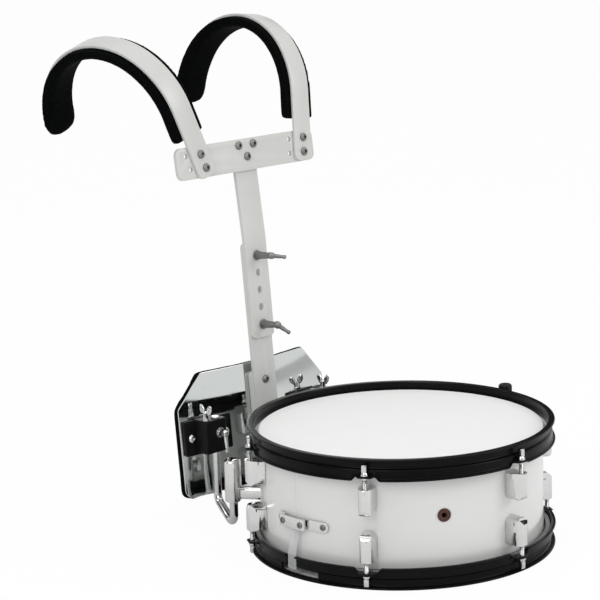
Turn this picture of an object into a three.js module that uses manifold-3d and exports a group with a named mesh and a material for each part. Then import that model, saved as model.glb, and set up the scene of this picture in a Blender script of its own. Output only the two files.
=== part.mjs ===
// Marching snare drum, 14 x 5.5 inch, on a T-bar shoulder carrier.
// Millimetres, +Z up. The drum stands on its lower hoop. Its front, away from the player, is -Y,
// the player stands at +Y, and +X is the player's left.
// Angles round the drum are counted from the front, -Y, towards +X.
import * as THREE from 'three';
import { mergeVertices } from 'three/addons/utils/BufferGeometryUtils.js';
import Module from 'manifold-3d';

const wasm = await Module();
wasm.setup();

// Clearances shared by all the pieces
const seat = 0.3;          // gap left between two pieces that touch
const running = 0.3;       // radial clearance of what slides or turns in a hole
const overrun = 2;         // how far a cutting tool reaches past what it cuts

// Shell
const shellRadius = 177.8;
const shellWall = 6.4;
const shellLength = 139.7;
const bearingBevel = 4.5;  // height of the bearing edge's inner slope
const edgeRound = 0.8;
const drumSides = 48;      // facets round the drum, a multiple of the six lugs
const snareBedDepth = 1.5;
const snareBedWidth = 70;

// Hoops and heads
const rimStand = 10.15;    // how far each hoop's rim stands past the bearing edge
const shellBottom = rimStand;
const shellTop = shellBottom + shellLength;
const drumHeight = shellTop + rimStand;
const hoopMetal = 2.4;
const hoopGap = 5.8;       // from the shell out to the hoop's inner face
const hoopInner = shellRadius + hoopGap;
const rimWidth = 8.9;
const rimOuter = hoopInner + rimWidth;
const skirtStep = 5.9;     // from the hoop's inner face out to its skirt
const skirtOuter = hoopInner + skirtStep;
const lipWidth = 3.5;
const lipOuter = skirtOuter + lipWidth;
const hoopHeight = 26.8;
const hoopStepDepth = 12;  // from the rim down to the step that presses the head
const rimRound = 1;
const earDepth = 19;       // from the rim down to the top of an ear
const earLength = 11.5;
const earReach = skirtOuter + earLength;
const earWidth = 20;
const earTipWidth = 13;
const earNotchWidth = 32;
const earNotchTopWidth = 22;
const film = 0.5;
const collarInset = 0.4;   // from the shell's outside in to the bend of the film over the edge
const collarDrop = 1.55;   // from that bend down to the one below it, collarStand out from the shell
const collarStand = 0.7;
const fleshGap = 2.3;
const fleshInner = shellRadius + fleshGap;
const fleshWidth = 6.5;
const fleshHeight = 8;
const gateWidth = 62;      // window in the snare hoop for the straps
const gateLow = 3.2;
const gateHeight = 8.2;
const gateHigh = gateLow + gateHeight;
const strapNotchMargin = 1.5;

// Lugs and tension rods
const lugCount = 6;
const rodStand = 5.5;      // from the hoop's skirt out to the rod's axis
const rodCircle = skirtOuter + rodStand;
const rodRadius = 3;
const rodSides = 8;
const lugDrop = 24.85;     // from the bearing edge to the lug's near end
const lugGap = 20;         // between an upper lug and the lower one under it
const lugLength = (shellLength - lugGap) / 2 - lugDrop;
const lugHigh = shellTop - lugDrop;
const lugLow = lugHigh - lugLength;
const lugWidth = 20;
const lugNose = 6.5;       // from the rod's axis out to the lug's face
const lugReach = rodCircle + lugNose;
const lugNoseRadius = 8;
const lugCorner = 2;
const lugFloor = 5;        // below the rod's bore
const lugBoreDepth = lugLength - lugFloor;
const rodTipGap = 4;
const rodInLug = lugBoreDepth - rodTipGap;
const washerRadius = 5;
const washerThickness = 1.6;
const keyHeadWidth = 6.2;
const keyHeadHeight = 8.6;
const keyCollarHeight = 3;
const keyCollarRadius = 4.6;

// Air vent
const ventAngle = -31;
const ventStand = 75.85;   // above the lower bearing edge
const ventHeight = shellBottom + ventStand;
const ventHoleRadius = 5;
const ventSides = 12;
const ventBore = 3;
const ventFlangeRadius = 8.5;
const ventFlange = 1.6;
const ventTail = 2;

// Snare wires, straps and butt plate
const strandCount = 20;
const strandSize = 1.2;
const strandSpan = 54;
const wireInset = 25.8;    // from the shell's outside in to the strands' end
const wireLength = 2 * (shellRadius - wireInset);
const endPlateWidth = 60;
const endPlateLength = 14;
const endPlateThickness = 1.6;
const strapThickness = 0.8;
const strapWidth = 14;
const strapTuck = 13;      // length of strap under the end plate
const strapInset = 0.8;    // from the hoop's skirt in to the strap's inner face
const strapRun = skirtOuter - strapInset;
const buttStand = 56.85;   // above the lower bearing edge
const buttHeight = shellBottom + buttStand;
const buttLength = 84;
const buttTall = 13;
const buttThickness = 3;
const buttStrapOffset = -8; // round the drum, rearwards
const clampOffset = -10;
const clampLength = 43;
const clampTall = 14.5;
const clampThickness = 4.2;
const buttScrewInset = 6.5;
const clampScrewInset = 6;
const buttScrewRadius = 4;
const buttScrewHeight = 2;

// Snare strainer on the player's left
const strainerWidth = 34;
const strainerDrop = 19.85; // below the upper bearing edge
const strainerTall = 68;
const strainerHigh = shellTop - strainerDrop;
const strainerLow = strainerHigh - strainerTall;
const strainerPlate = 3.2;
const cheekGap = 22;
const cheekThickness = 3;
const cheekStand = 20.7;   // from the shell out to the cheeks' front edge
const cheekReach = shellRadius + cheekStand;
const cheekRise = 18;
const cheekTall = 40;
const cheekCorner = 8;
const cheekLow = strainerLow + cheekRise;
const cheekHigh = cheekLow + cheekTall;
const throwDrop = 4.5;     // how far the carriage drops when the lever is thrown
const carriageRise = 4;
const carriageTall = 28;
const carriageLow = cheekLow + carriageRise;
const carriageHigh = carriageLow + carriageTall;
const carriageGap = 4.8;   // from the shell out to the carriage
const carriageBack = shellRadius + carriageGap;
const carriageProud = 0.5;
const carriageReach = cheekReach + carriageProud;
const ledgeThickness = 8;
const ledgeWidth = 16;
const ledgeCorner = 5;
const knobStand = 5.5;     // from the carriage's face out to the knob's axis
const knobCircle = carriageReach + knobStand;
const knobRadius = 8.5;
const knobDrop = 10;       // from the rim down to the knob's foot
const knobHeight = 16;
const knobLow = drumHeight - knobDrop;
const knobHigh = knobLow + knobHeight;
const knobRodRadius = 2.5;
const knobFlutes = 8;
const knobFluteRadius = 1.1;
const knobSides = 16;
const leverPivotRadius = 2.2;
const leverPivotInset = 5;
const leverPivotCircle = cheekReach - leverPivotInset;
const leverPivotRise = 10;
const leverPivotHeight = cheekLow + leverPivotRise;
const leverArm = 2.4;
const leverReach = 48;     // from the pivot down to the grip's lower end
const leverGripTall = 28;
const leverGripLow = leverPivotHeight - leverReach;
const leverGripHigh = leverGripLow + leverGripTall;
const leverGripStand = 2.5;
const leverGripBack = cheekReach + leverGripStand;
const leverGripThickness = 5;
const leverGripCorner = 7;

// Receivers on the drum and the J-rods that hang in them
const receiverAngle = 150;
const receiverStand = 44.2; // from the shell out to the socket's axis
const receiverCircle = shellRadius + receiverStand;
const receiverLow = 40;
const receiverTall = 55;
const receiverHigh = receiverLow + receiverTall;
const receiverWidth = 24;
const receiverDepth = 20;
const receiverCorner = 5;
const receiverArmRise = 4;
const receiverArmTall = 16;
const receiverArmLow = receiverLow + receiverArmRise;
const receiverArmHigh = receiverArmLow + receiverArmTall;
const receiverArmWidth = 14;
const receiverFootWidth = 34;
const receiverFootHeight = 26;
const receiverFootThickness = 4;
const lowerScrewDrop = 23; // from the socket's upper end
const upperScrewDrop = 7;
const receiverScrewDrops = [lowerScrewDrop, upperScrewDrop];
const receiverScrewSize = 5;
const receiverScrewLength = 7;
const jRodRadius = 5.5;
const jRodSides = 12;
const hookDrop = 9;        // from the socket's upper end down to the hook's tip
const jRodHookTop = receiverHigh - hookDrop;
const jRodX = 91;
const jRodKnee = 27;       // height of the knee below the brackets
const jRodKneeBend = 14;
const jRodHookBend = 11;
const jRodBendSteps = 4;

// Carrier: post, belly plate and brackets, in a frame that leans back towards the player
const postX = 0;
const postStand = 58.2;    // from the shell back to the post
const postY = shellRadius + postStand; // front face of the upper bar at the height postZ
const postRise = 5;
const postZ = drumHeight + postRise;
const postLean = 5;        // degrees
const jRodBack = 8;        // from the post's front back to the J-rods' upper run
const jRodY = postY + jRodBack;
const barWidth = 38;
const barThickness = 5;
const barCorner = 6;
const bendHeight = 196;
const bendAngle = 3;
const bendRadius = 220;
const postAboveBend = 128;
const lowerBarLow = -108;
const lowerBarDrop = 5;    // from the upper bar's bend down to the lower bar's end
const lowerBarHigh = bendHeight - lowerBarDrop;
const upperBarLow = 65;
const slotWidth = 8;
const slotInset = 7;
const slotStart = 4;       // the slot starts this far above the upper bar's lower end, hidden behind it
const slotLow = upperBarLow + slotStart;
const slotHigh = lowerBarHigh - slotInset;
const holeCount = 5;
const holeStart = 17;      // from the upper bar's lower end to its lowest hole
const holeEnd = 17;        // from the lower bar's upper end down to the highest hole
const lowestHole = upperBarLow + holeStart;
const holePitch = (lowerBarHigh - holeEnd - lowestHole) / (holeCount - 1);
const holeRadius = 3.6;
const holeLength = 10;
const plateThickness = 2;
const plateHigh = 32;
const plateTall = 161.5;
const plateLow = plateHigh - plateTall;
const plateHalf = 134;
const plateChamferWidth = 40;
const plateTopHalf = plateHalf - plateChamferWidth;
const plateChamferHeight = 43;
const plateShoulder = plateHigh - plateChamferHeight;
const plateBendAt = 25;
const plateBend = 8;       // degrees
const plateCorner = 12;
const plateTopCorner = 5;
const spacerDepth = 8;
const spacerRise = 8;
const spacerLow = lowerBarLow + spacerRise;
const spacerDrop = 12;
const spacerHigh = plateHigh - spacerDrop;
const plateBoltInset = 16; // from the spacer's lower end up to its lower bolt
const plateBoltInsetTop = 12;
const plateBoltHeights = [spacerHigh - plateBoltInsetTop, spacerLow + plateBoltInset];
const boltHeadRadius = 5.5;
const boltHeadHeight = 3.6;
const boltRoot = 1;        // how deep a bolt head is sunk into what carries it
const boltSides = 8;
const nutRadius = 6;
const nutHeight = 4;
const nutSides = 6;
const bellyPadThickness = 11;
const bellyPadOverhang = 2;
const bellyPadRound = 5;   // how far its rim is rounded in
const bracketWidth = 74;
const bracketHeight = 46;
const bracketMiddle = -50;
const bracketThickness = 5;
const bracketOffset = 2;   // from the J-rod's plane outwards to the foot's middle
const bracketScrewReach = 26.5;
const bossInner = 13;      // the boss's reach to each side of the J-rod
const bossOuter = 23;
const bossDepth = 17;      // how far the boss runs back, cut off at the plate's foot
const bossReach = 8.5;     // wall of the boss in front of the J-rod's axis
const bossHeight = 44;
const bossCorner = 3;
const jRodAbove = 2.5;
const levelScrewOut = 17.6; // screw that stands up on the boss, beside the J-rod
const levelScrewBack = -1.6;
const levelScrewX = jRodX + levelScrewOut;
const levelScrewY = jRodY + levelScrewBack;
const levelScrewLength = 20;

// Wing screws on the brackets
const wingShaft = 2.5;
const wingFoot = 1.5;
const wingHubRadius = 5;
const wingHubTip = 3.8;
const wingHubLength = 10.2;
const wingLobeLong = 7.5;
const wingLobeShort = 4.4;
const wingThickness = 3.2;
const wingSpread = 6.5;
const wingForward = 2;
const wingFlare = 24;      // degrees
const wingLobeSteps = 9;

// Lever screws: two on the post, one on the front of each bracket
const leverShaft = 3;
const leverWasher = 6.8;
const leverWasherThickness = 1.4;
const leverBarrel = 4.8;
const leverNeck = 4;
const leverElbow = 5.2;
const leverEye = 1.6;
const leverRoot = 3.8;
const leverTip = 2.2;
const postLeverStand = 27; // from the washer's foot to the elbow
const postLeverLength = 20;
const postLeverAngle = 50; // degrees between barrel and lever
const postLeverTurns = [-52, -15]; // degrees, how the two screws were left
const bracketLeverStand = 9;
const bracketLeverLength = 25;
const bracketLeverAngle = 82;
const bracketLeverTurn = -90;
const bracketLeverRise = 4;

// Shoulder yoke: crossbar, shoulder bars and pads, above the bend of the post
const yokeHeight = 103;    // from the bend up to the lower shoulder bolts
const crossbarHalf = 122;
const crossbarDrop = 12.5;
const crossbarTall = 41.5;
const crossbarLow = -crossbarDrop;
const crossbarHigh = crossbarLow + crossbarTall;
const crossbarCorner = 10;
const crossbarThickness = 5;
const innerHole = 77.5;    // from the crossbar's middle to its pairs of holes
const outerHole = 99.5;
const shoulderBoltPitch = 19;
const centreBoltSpread = 13;
const centreBoltHigh = 21;
const centreBoltLow = 5.5;
const centreBolts = [
  [-centreBoltSpread, centreBoltHigh], [centreBoltSpread, centreBoltHigh], [0, centreBoltLow],
];
const shoulderWidth = 30;
const shoulderThickness = 4;
const shoulderShank = 3;
const shoulderTail = 12;   // below the lower bolt
const shoulderCorner = 9;
const shoulderStraight = 82;
const archFrontRadius = 116;
const archCrownRadius = 105;
const archRearRadius = 122;
const shoulderArcRadii = [archFrontRadius, archCrownRadius, archRearRadius];
const shoulderArcAngles = [40, 90, 41]; // degrees
// Each bar is clamped in its own pair of holes, and leans outwards by its own splay and toe, in degrees.
const shoulders = [
  { name: 'left', side: 1, hole: outerHole, splay: 5.5, toe: -3.4 },
  { name: 'right', side: -1, hole: innerHole, splay: 19, toe: 8.6 },
];
const arcStep = 8.5;       // degrees a facet
const padThickness = 13;
const padWidth = 52;
const padStart = 43;       // from the lower bolt up to the pad
const padOverrun = 14;     // how far the pad passes the bar's free end
const padEndRound = 22;    // how far from the pad's ends its round ends start
const padStep = 24;        // between its rings

// Worked out from the values above
const rad = Math.PI / 180;
const headTop = shellTop + seat + film;
const strapClampTop = (carriageLow + carriageHigh) / 2;
const stepUnder = hoopStepDepth + hoopMetal;
const fleshTop = drumHeight - stepUnder - seat;
const fleshOuter = fleshInner + fleshWidth;
const lugAngles = Array.from({ length: lugCount }, (_, i) => (i * 360) / lugCount);
const lowerBarFront = barThickness + seat; // depths behind the upper bar's front face
const lowerBarBack = lowerBarFront + barThickness;
const plateFront = lowerBarBack + spacerDepth + seat;
const plateBack = plateFront + plateThickness;
const bossTop = postZ + bracketMiddle * Math.cos(postLean * rad) + bossHeight / 2;
const wiresTop = shellBottom - seat - film - seat;
const strapLevel = wiresTop - endPlateThickness - seat; // top of a strap under its end plate

// The radius of a hole of so many facets in which something turns or slides with its running clearance
const bore = (radius, sides = rodSides) => (radius + running) / Math.cos(Math.PI / sides);

// Materials
const finish = (color, roughness, metalness) => new THREE.MeshStandardMaterial({ color, roughness, metalness });
const whiteWrap = finish(0xe9eae6, 0.25, 0);
const whitePaint = finish(0xdedfdb, 0.4, 0.1);
const blackEnamel = finish(0x15161a, 0.3, 0.2);
const blackPlastic = finish(0x0b0b0c, 0.5, 0);
const blackFoam = finish(0x0d0d0e, 0.9, 0);
const headFilm = finish(0xf1f1ee, 0.6, 0);
const chrome = finish(0xd8d9da, 0.15, 1);
const steelWire = finish(0xb9bbbd, 0.3, 1);
const strapPlastic = finish(0xc9ccce, 0.3, 0);
const grommetBrown = finish(0x5a2a22, 0.4, 0.2);

// Solids

// Gives a geometry merged corners and outward faces.
function closed(geometry) {
  const bare = geometry.index ? geometry.toNonIndexed() : geometry.clone();
  for (const name of Object.keys(bare.attributes)) {
    if (name !== 'position') bare.deleteAttribute(name);
  }
  const merged = mergeVertices(bare, 1e-4);
  const p = merged.attributes.position;
  const kept = [];
  for (let i = 0; i < merged.index.count; i += 3) {
    const [a, b, c] = [0, 1, 2].map((k) => merged.index.getX(i + k));
    if (a !== b && b !== c && a !== c) kept.push(a, b, c);
  }
  const corner = (i) => new THREE.Vector3().fromBufferAttribute(p, i);
  let volume = 0;
  for (let i = 0; i < kept.length; i += 3) {
    volume += corner(kept[i]).dot(corner(kept[i + 1]).cross(corner(kept[i + 2])));
  }
  if (volume < 0) kept.reverse();
  merged.setIndex(kept);
  return merged;
}

function solid(geometry) {
  const shape = closed(geometry);
  const mesh = new wasm.Mesh({
    numProp: 3,
    vertProperties: new Float32Array(shape.attributes.position.array),
    triVerts: new Uint32Array(shape.index.array),
  });
  return new wasm.Manifold(mesh);
}

function geometryOf(body) {
  const mesh = body.getMesh();
  const geometry = new THREE.BufferGeometry();
  geometry.setAttribute('position', new THREE.Float32BufferAttribute(mesh.vertProperties, 3));
  geometry.setIndex(Array.from(mesh.triVerts));
  return geometry;
}

const join = (...geometries) => geometryOf(geometries.map(solid).reduce((a, b) => a.add(b)));
const cut = (geometry, ...tools) => geometryOf(tools.map(solid).reduce((a, b) => a.subtract(b), solid(geometry)));
const common = (a, b) => geometryOf(solid(a).intersect(solid(b)));

// A revolved solid about Z from [radius, height] points that close on themselves or on the axis.
function revolve(points, sides) {
  const onAxis = points[0][0] === 0;
  const outline = (onAxis ? points : [...points, points[0]]).map(([r, z]) => new THREE.Vector2(r, z));
  return new THREE.LatheGeometry(outline, sides).rotateX(Math.PI / 2);
}

const rod = (radius, low, high, sides) => revolve([[0, low], [radius, low], [radius, high], [0, high]], sides);

function box(x0, x1, y0, y1, z0, z1) {
  return new THREE.BoxGeometry(x1 - x0, y1 - y0, z1 - z0).translate((x0 + x1) / 2, (y0 + y1) / 2, (z0 + z1) / 2);
}

// Extrudes an outline drawn in X and Y along +Z.
function slab(outline, depth, curveSegments = 4) {
  return new THREE.ExtrudeGeometry(outline, { depth, bevelEnabled: false, curveSegments, steps: 1 });
}

// Extrudes an outline drawn in X and Z along Y, from y0 to y1.
function panel(outline, y0, y1, curveSegments = 4) {
  return slab(outline, y1 - y0, curveSegments).rotateX(Math.PI / 2).translate(0, y1, 0);
}

// A rectangle with round corners, one radius for all or one for each, from the lower left round.
function roundedBox(x0, x1, y0, y1, corners) {
  const [a, b, c, d] = Array.isArray(corners) ? corners : [corners, corners, corners, corners];
  const shape = new THREE.Shape();
  shape.moveTo(x0 + a, y0).lineTo(x1 - b, y0);
  if (b) shape.absarc(x1 - b, y0 + b, b, -Math.PI / 2, 0);
  shape.lineTo(x1, y1 - c);
  if (c) shape.absarc(x1 - c, y1 - c, c, 0, Math.PI / 2);
  shape.lineTo(x0 + d, y1);
  if (d) shape.absarc(x0 + d, y1 - d, d, Math.PI / 2, Math.PI);
  shape.lineTo(x0, y0 + a);
  if (a) shape.absarc(x0 + a, y0 + a, a, Math.PI, 1.5 * Math.PI);
  return shape;
}

// A slot standing up in an outline, as a hole.
function slotHole(x, low, high, radius) {
  const hole = new THREE.Path();
  hole.moveTo(x + radius, low + radius).lineTo(x + radius, high - radius);
  hole.absarc(x, high - radius, radius, 0, Math.PI);
  hole.lineTo(x - radius, low + radius);
  hole.absarc(x, low + radius, radius, Math.PI, 2 * Math.PI);
  return hole;
}

function roundHole(x, y, radius) {
  const corners = Array.from({ length: rodSides }, (_, i) => {
    const angle = (2 * Math.PI * (i + 1 / 2)) / rodSides;
    return new THREE.Vector2(x + radius * Math.cos(angle), y + radius * Math.sin(angle));
  });
  return new THREE.Path(corners);
}

// A path of given corner points whose rings stand square to the bisector at each corner.
class BentPath extends THREE.Curve {
  constructor(points) {
    super();
    this.corners = points;
  }
  getPoint(t) {
    return this.corners[Math.round(t * (this.corners.length - 1))].clone();
  }
  getPointAt(u) {
    return this.getPoint(u);
  }
  getSpacedPoints() {
    return this.corners.map((corner) => corner.clone());
  }
  getTangentAt(u) {
    const i = Math.round(u * (this.corners.length - 1));
    const before = this.corners[Math.max(i - 1, 0)];
    const here = this.corners[i];
    const after = this.corners[Math.min(i + 1, this.corners.length - 1)];
    const incoming = here.clone().sub(before).normalize();
    const outgoing = after.clone().sub(here).normalize();
    return incoming.add(outgoing).normalize();
  }
}

// Corner points of a bent rod: straight runs between the given points, with round bends.
function bentCorners(points, bends, perBend) {
  const corners = [points[0]];
  for (let i = 1; i < points.length - 1; i += 1) {
    const into = points[i].clone().sub(points[i - 1]).normalize();
    const out = points[i + 1].clone().sub(points[i]).normalize();
    const turn = into.angleTo(out);
    const reach = bends[i - 1] * Math.tan(turn / 2);
    const start = points[i].clone().addScaledVector(into, -reach);
    const side = out.clone().addScaledVector(into, -Math.cos(turn)).normalize();
    const centre = start.clone().addScaledVector(side, bends[i - 1]);
    for (let k = 0; k <= perBend; k += 1) {
      const angle = (turn * k) / perBend;
      const point = centre.clone().addScaledVector(side, -bends[i - 1] * Math.cos(angle));
      corners.push(point.addScaledVector(into, bends[i - 1] * Math.sin(angle)));
    }
  }
  corners.push(points[points.length - 1]);
  return corners;
}

function bentRod(corners, radius, sides) {
  const section = new THREE.Shape();
  for (let i = 0; i < sides; i += 1) {
    const angle = (2 * Math.PI * i) / sides;
    const place = [radius * Math.cos(angle), radius * Math.sin(angle)];
    if (i) section.lineTo(...place);
    else section.moveTo(...place);
  }
  const extrudePath = new BentPath(corners);
  return new THREE.ExtrudeGeometry(section, { steps: corners.length - 1, extrudePath, bevelEnabled: false });
}

// Scene graph

const model = new THREE.Group();

function piece(name, geometry, material, parent = model) {
  const mesh = new THREE.Mesh(closed(geometry), material.clone());
  mesh.name = name;
  parent.add(mesh);
  return mesh;
}

// A frame on the drum's side: its +X points straight out at the angle, its +Y runs round the drum.
function station(angle, parent = model) {
  const group = new THREE.Group();
  group.rotation.z = (angle - 90) * rad;
  parent.add(group);
  return group;
}

// Cuts a foot that lies on the shell to the shell's curve. The foot is drawn in a station's frame.
function onShell(geometry, angle) {
  const core = rod(shellRadius + seat, -overrun, drumHeight + overrun, drumSides);
  return cut(geometry, core.rotateZ((90 - angle) * rad));
}

// Shell, with its bearing edges, snare beds and vent hole
function shell() {
  const inner = shellRadius - shellWall;
  const edge = shellRadius - edgeRound;
  const wall = revolve([
    [inner, shellBottom + bearingBevel], [edge, shellBottom], [shellRadius, shellBottom + edgeRound],
    [shellRadius, shellTop - edgeRound], [edge, shellTop], [inner, shellTop - bearingBevel],
  ], drumSides);
  const bed = new THREE.Shape();
  bed.moveTo(-snareBedWidth / 2, shellBottom - overrun).lineTo(snareBedWidth / 2, shellBottom - overrun);
  bed.lineTo(snareBedWidth / 2, shellBottom);
  bed.quadraticCurveTo(0, shellBottom + 2 * snareBedDepth, -snareBedWidth / 2, shellBottom);
  const reach = shellRadius + overrun;
  const beds = panel(bed, -reach, reach).rotateZ(Math.PI / 2);
  const vent = rod(ventHoleRadius, inner - overrun, shellRadius + overrun, ventSides)
    .rotateY(Math.PI / 2).translate(0, 0, ventHeight).rotateZ((ventAngle - 90) * rad);
  return cut(wall, beds, vent);
}

// A head for the top of the drum: film, collar and flesh hoop in one
function head() {
  const under = headTop - film;
  const bend = shellRadius - collarInset;
  const stand = shellRadius + collarStand;
  return revolve([
    [0, headTop], [bend + film / 2, headTop], [stand + film, under - collarDrop + film / 2],
    [fleshInner + 2 * film, fleshTop], [fleshInner + fleshWidth, fleshTop],
    [fleshInner + fleshWidth, fleshTop - fleshHeight], [fleshInner, fleshTop - fleshHeight],
    [fleshInner, fleshTop - film], [stand, under - collarDrop], [bend, under], [0, under],
  ], drumSides);
}

// A triple-flanged hoop for the top of the drum, with an ear at each tension rod
function hoop() {
  const profile = [
    [hoopInner, rimRound], [hoopInner + rimRound, 0], [rimOuter, 0], [rimOuter, hoopMetal],
    [hoopInner + hoopMetal, hoopMetal + rimRound], [hoopInner + hoopMetal, hoopStepDepth],
    [skirtOuter, hoopStepDepth + rimRound], [skirtOuter, hoopHeight - hoopMetal],
    [lipOuter, hoopHeight - hoopMetal], [lipOuter, hoopHeight],
    [skirtOuter - hoopMetal, hoopHeight], [skirtOuter - hoopMetal, stepUnder], [hoopInner, stepUnder],
  ].map(([r, depth]) => [r, drumHeight - depth]);
  const earTop = drumHeight - earDepth;
  const earUnder = earTop - hoopMetal;
  const notch = new THREE.Shape();
  notch.moveTo(-earNotchWidth / 2, drumHeight - hoopHeight - overrun);
  notch.lineTo(earNotchWidth / 2, drumHeight - hoopHeight - overrun);
  notch.lineTo(earNotchWidth / 2, drumHeight - hoopHeight);
  notch.quadraticCurveTo(earNotchWidth / 2, earUnder, earNotchTopWidth / 2, earUnder);
  notch.lineTo(-earNotchTopWidth / 2, earUnder);
  notch.quadraticCurveTo(-earNotchWidth / 2, earUnder, -earNotchWidth / 2, drumHeight - hoopHeight);
  const ear = new THREE.Shape();
  ear.moveTo(-earWidth / 2, 0).lineTo(earWidth / 2, 0);
  const tip = earReach - skirtOuter + hoopMetal / 2;
  ear.lineTo(earWidth / 2, tip / 2).lineTo(earTipWidth / 2, tip).lineTo(-earTipWidth / 2, tip);
  ear.lineTo(-earWidth / 2, tip / 2);
  const turned = (geometry, angle) => geometry.rotateZ((angle + 180) * rad);
  const notches = lugAngles.map((angle) => turned(panel(notch, fleshOuter + seat, lipOuter + overrun, 3), angle));
  const ring = cut(revolve(profile, drumSides), ...notches);
  const ears = lugAngles.map((angle) => turned(slab(ear, hoopMetal).translate(0, skirtOuter - hoopMetal / 2, earUnder), angle));
  const holes = lugAngles.map((angle) => turned(
    rod(bore(rodRadius), earUnder - overrun, earTop + overrun, rodSides).translate(0, rodCircle, 0), angle));
  return cut(join(ring, ...ears), ...holes);
}

// Turns a piece made for the top of the drum over, about the drum's middle.
const flipped = (geometry) => geometry.rotateX(Math.PI).translate(0, 0, drumHeight);

// The snare hoop: a hoop with a gate at each side, in the butt's or the strainer's station
function snareHoop() {
  const half = strapWidth / 2 + strapNotchMargin;
  const gates = [[-1, -buttStrapOffset], [1, 0]].flatMap(([side, middle]) => {
    const slot = (from, to, left, right, low, high) => (
      box(Math.min(side * from, side * to), Math.max(side * from, side * to), left, right, low, high));
    return [
      slot(hoopInner - overrun, hoopInner + hoopMetal + overrun, -gateWidth / 2, gateWidth / 2, gateLow, gateHigh),
      slot(hoopInner - overrun, lipOuter + overrun, middle - half, middle + half, gateLow, gateHigh),
      slot(fleshOuter + seat, lipOuter + overrun, middle - half, middle + half, gateLow, hoopHeight + overrun),
    ];
  });
  return cut(flipped(hoop()), ...gates);
}

// A single-ended lug in its station's frame: flat at the rod's end, round at the other
function lug() {
  const back = shellRadius + seat;
  const nose = lugReach - lugNoseRadius;
  const half = lugWidth / 2;
  const plan = new THREE.Shape();
  plan.moveTo(back, -half).lineTo(nose - lugNoseRadius / 2, -half);
  plan.absarc(nose, 0, lugNoseRadius, -60 * rad, 60 * rad);
  plan.lineTo(nose - lugNoseRadius / 2, half).lineTo(back, half);
  const column = slab(plan, lugHigh - lugLow).translate(0, 0, lugLow);
  const front = new THREE.Shape();
  front.moveTo(-half, lugHigh - lugCorner).lineTo(-half, lugLow + half);
  front.absarc(0, lugLow + half, half, Math.PI, 2 * Math.PI);
  front.lineTo(half, lugHigh - lugCorner).lineTo(half - lugCorner, lugHigh).lineTo(lugCorner - half, lugHigh);
  const shield = panel(front, back - overrun, lugReach + overrun).rotateZ(-Math.PI / 2);
  const hole = rod(bore(rodRadius), lugHigh - lugBoreDepth, lugHigh + overrun, rodSides);
  return cut(common(column, shield), hole.translate(rodCircle, 0, 0));
}

// A tension rod in its station's frame: key head, collar, washer and shank
function tensionRod() {
  const under = drumHeight - earDepth + seat;
  const washer = under + washerThickness;
  const collar = washer + keyCollarHeight;
  const turned = revolve([
    [0, lugHigh - rodInLug], [rodRadius, lugHigh - rodInLug], [rodRadius, under], [washerRadius, under],
    [washerRadius, washer], [keyCollarRadius, washer], [rodRadius, collar], [0, collar],
  ], rodSides);
  const half = keyHeadWidth / 2;
  const key = box(-half, half, -half, half, washer, collar + keyHeadHeight);
  return join(turned, key).translate(rodCircle, 0, 0);
}

piece('shell', shell(), whiteWrap);
piece('batter_head', head(), headFilm);
piece('snare_head', flipped(head()), headFilm);
piece('batter_hoop', hoop(), blackEnamel);
piece('snare_hoop', snareHoop(), blackEnamel);
lugAngles.forEach((angle, i) => {
  const place = station(angle);
  piece(`batter_lug_${i + 1}`, lug(), chrome, place);
  piece(`batter_tension_rod_${i + 1}`, tensionRod(), chrome, place);
  piece(`snare_lug_${i + 1}`, flipped(lug()), chrome, place);
  piece(`snare_tension_rod_${i + 1}`, flipped(tensionRod()), chrome, place);
});

// Air vent: an eyelet through the shell
function ventGrommet() {
  const outside = shellRadius + seat;
  const inside = shellRadius - shellWall - ventTail;
  const neck = ventHoleRadius * Math.cos(Math.PI / ventSides) - running;
  return revolve([
    [ventBore, inside], [neck, inside], [neck, outside], [ventFlangeRadius, outside],
    [ventFlangeRadius - edgeRound, outside + ventFlange], [ventBore + edgeRound, outside + ventFlange],
    [ventBore, outside + ventFlange - edgeRound],
  ], ventSides).rotateY(Math.PI / 2).translate(0, 0, ventHeight);
}
piece('vent_grommet', ventGrommet(), grommetBrown, station(ventAngle));

// Snare wires under the snare head: strands between two end plates
function snareWires() {
  const top = wiresTop;
  const low = top - endPlateThickness;
  const half = wireLength / 2;
  const plates = [-1, 1].map((side) => {
    const near = side * half;
    const far = side * (half + endPlateLength);
    return box(Math.min(near, far), Math.max(near, far), -endPlateWidth / 2, endPlateWidth / 2, low, top);
  });
  const pitch = strandSpan / (strandCount - 1);
  const middle = (top + low) / 2;
  const strands = Array.from({ length: strandCount }, (_, i) => {
    const y = -strandSpan / 2 + i * pitch;
    return rod(strandSize / 2, -half - seat, half + seat, 4).rotateY(Math.PI / 2).translate(0, y, middle);
  });
  return join(...plates, ...strands);
}
piece('snare_wires', snareWires(), steelWire);

// A snare strap's side view: a ribbon of strapThickness that follows a line of [radius, height] points
function ribbon(line) {
  const outline = new THREE.Shape();
  const side = (i) => {
    const [a, b] = [line[Math.max(i - 1, 0)], line[i]];
    const [c, d] = [line[i], line[Math.min(i + 1, line.length - 1)]];
    const unit = ([x0, y0], [x1, y1]) => new THREE.Vector2(x1 - x0, y1 - y0).normalize();
    const into = i ? unit(a, b) : unit(c, d);
    const out = i < line.length - 1 ? unit(c, d) : into;
    const mean = into.clone().add(out).normalize();
    const reach = strapThickness / mean.dot(into);
    return [line[i][0] + mean.y * reach, line[i][1] - mean.x * reach];
  };
  line.forEach(([r, z], i) => (i ? outline.lineTo(r, z) : outline.moveTo(r, z)));
  for (let i = line.length - 1; i >= 0; i -= 1) outline.lineTo(...side(i));
  return panel(outline, -strapWidth / 2, strapWidth / 2);
}

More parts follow.
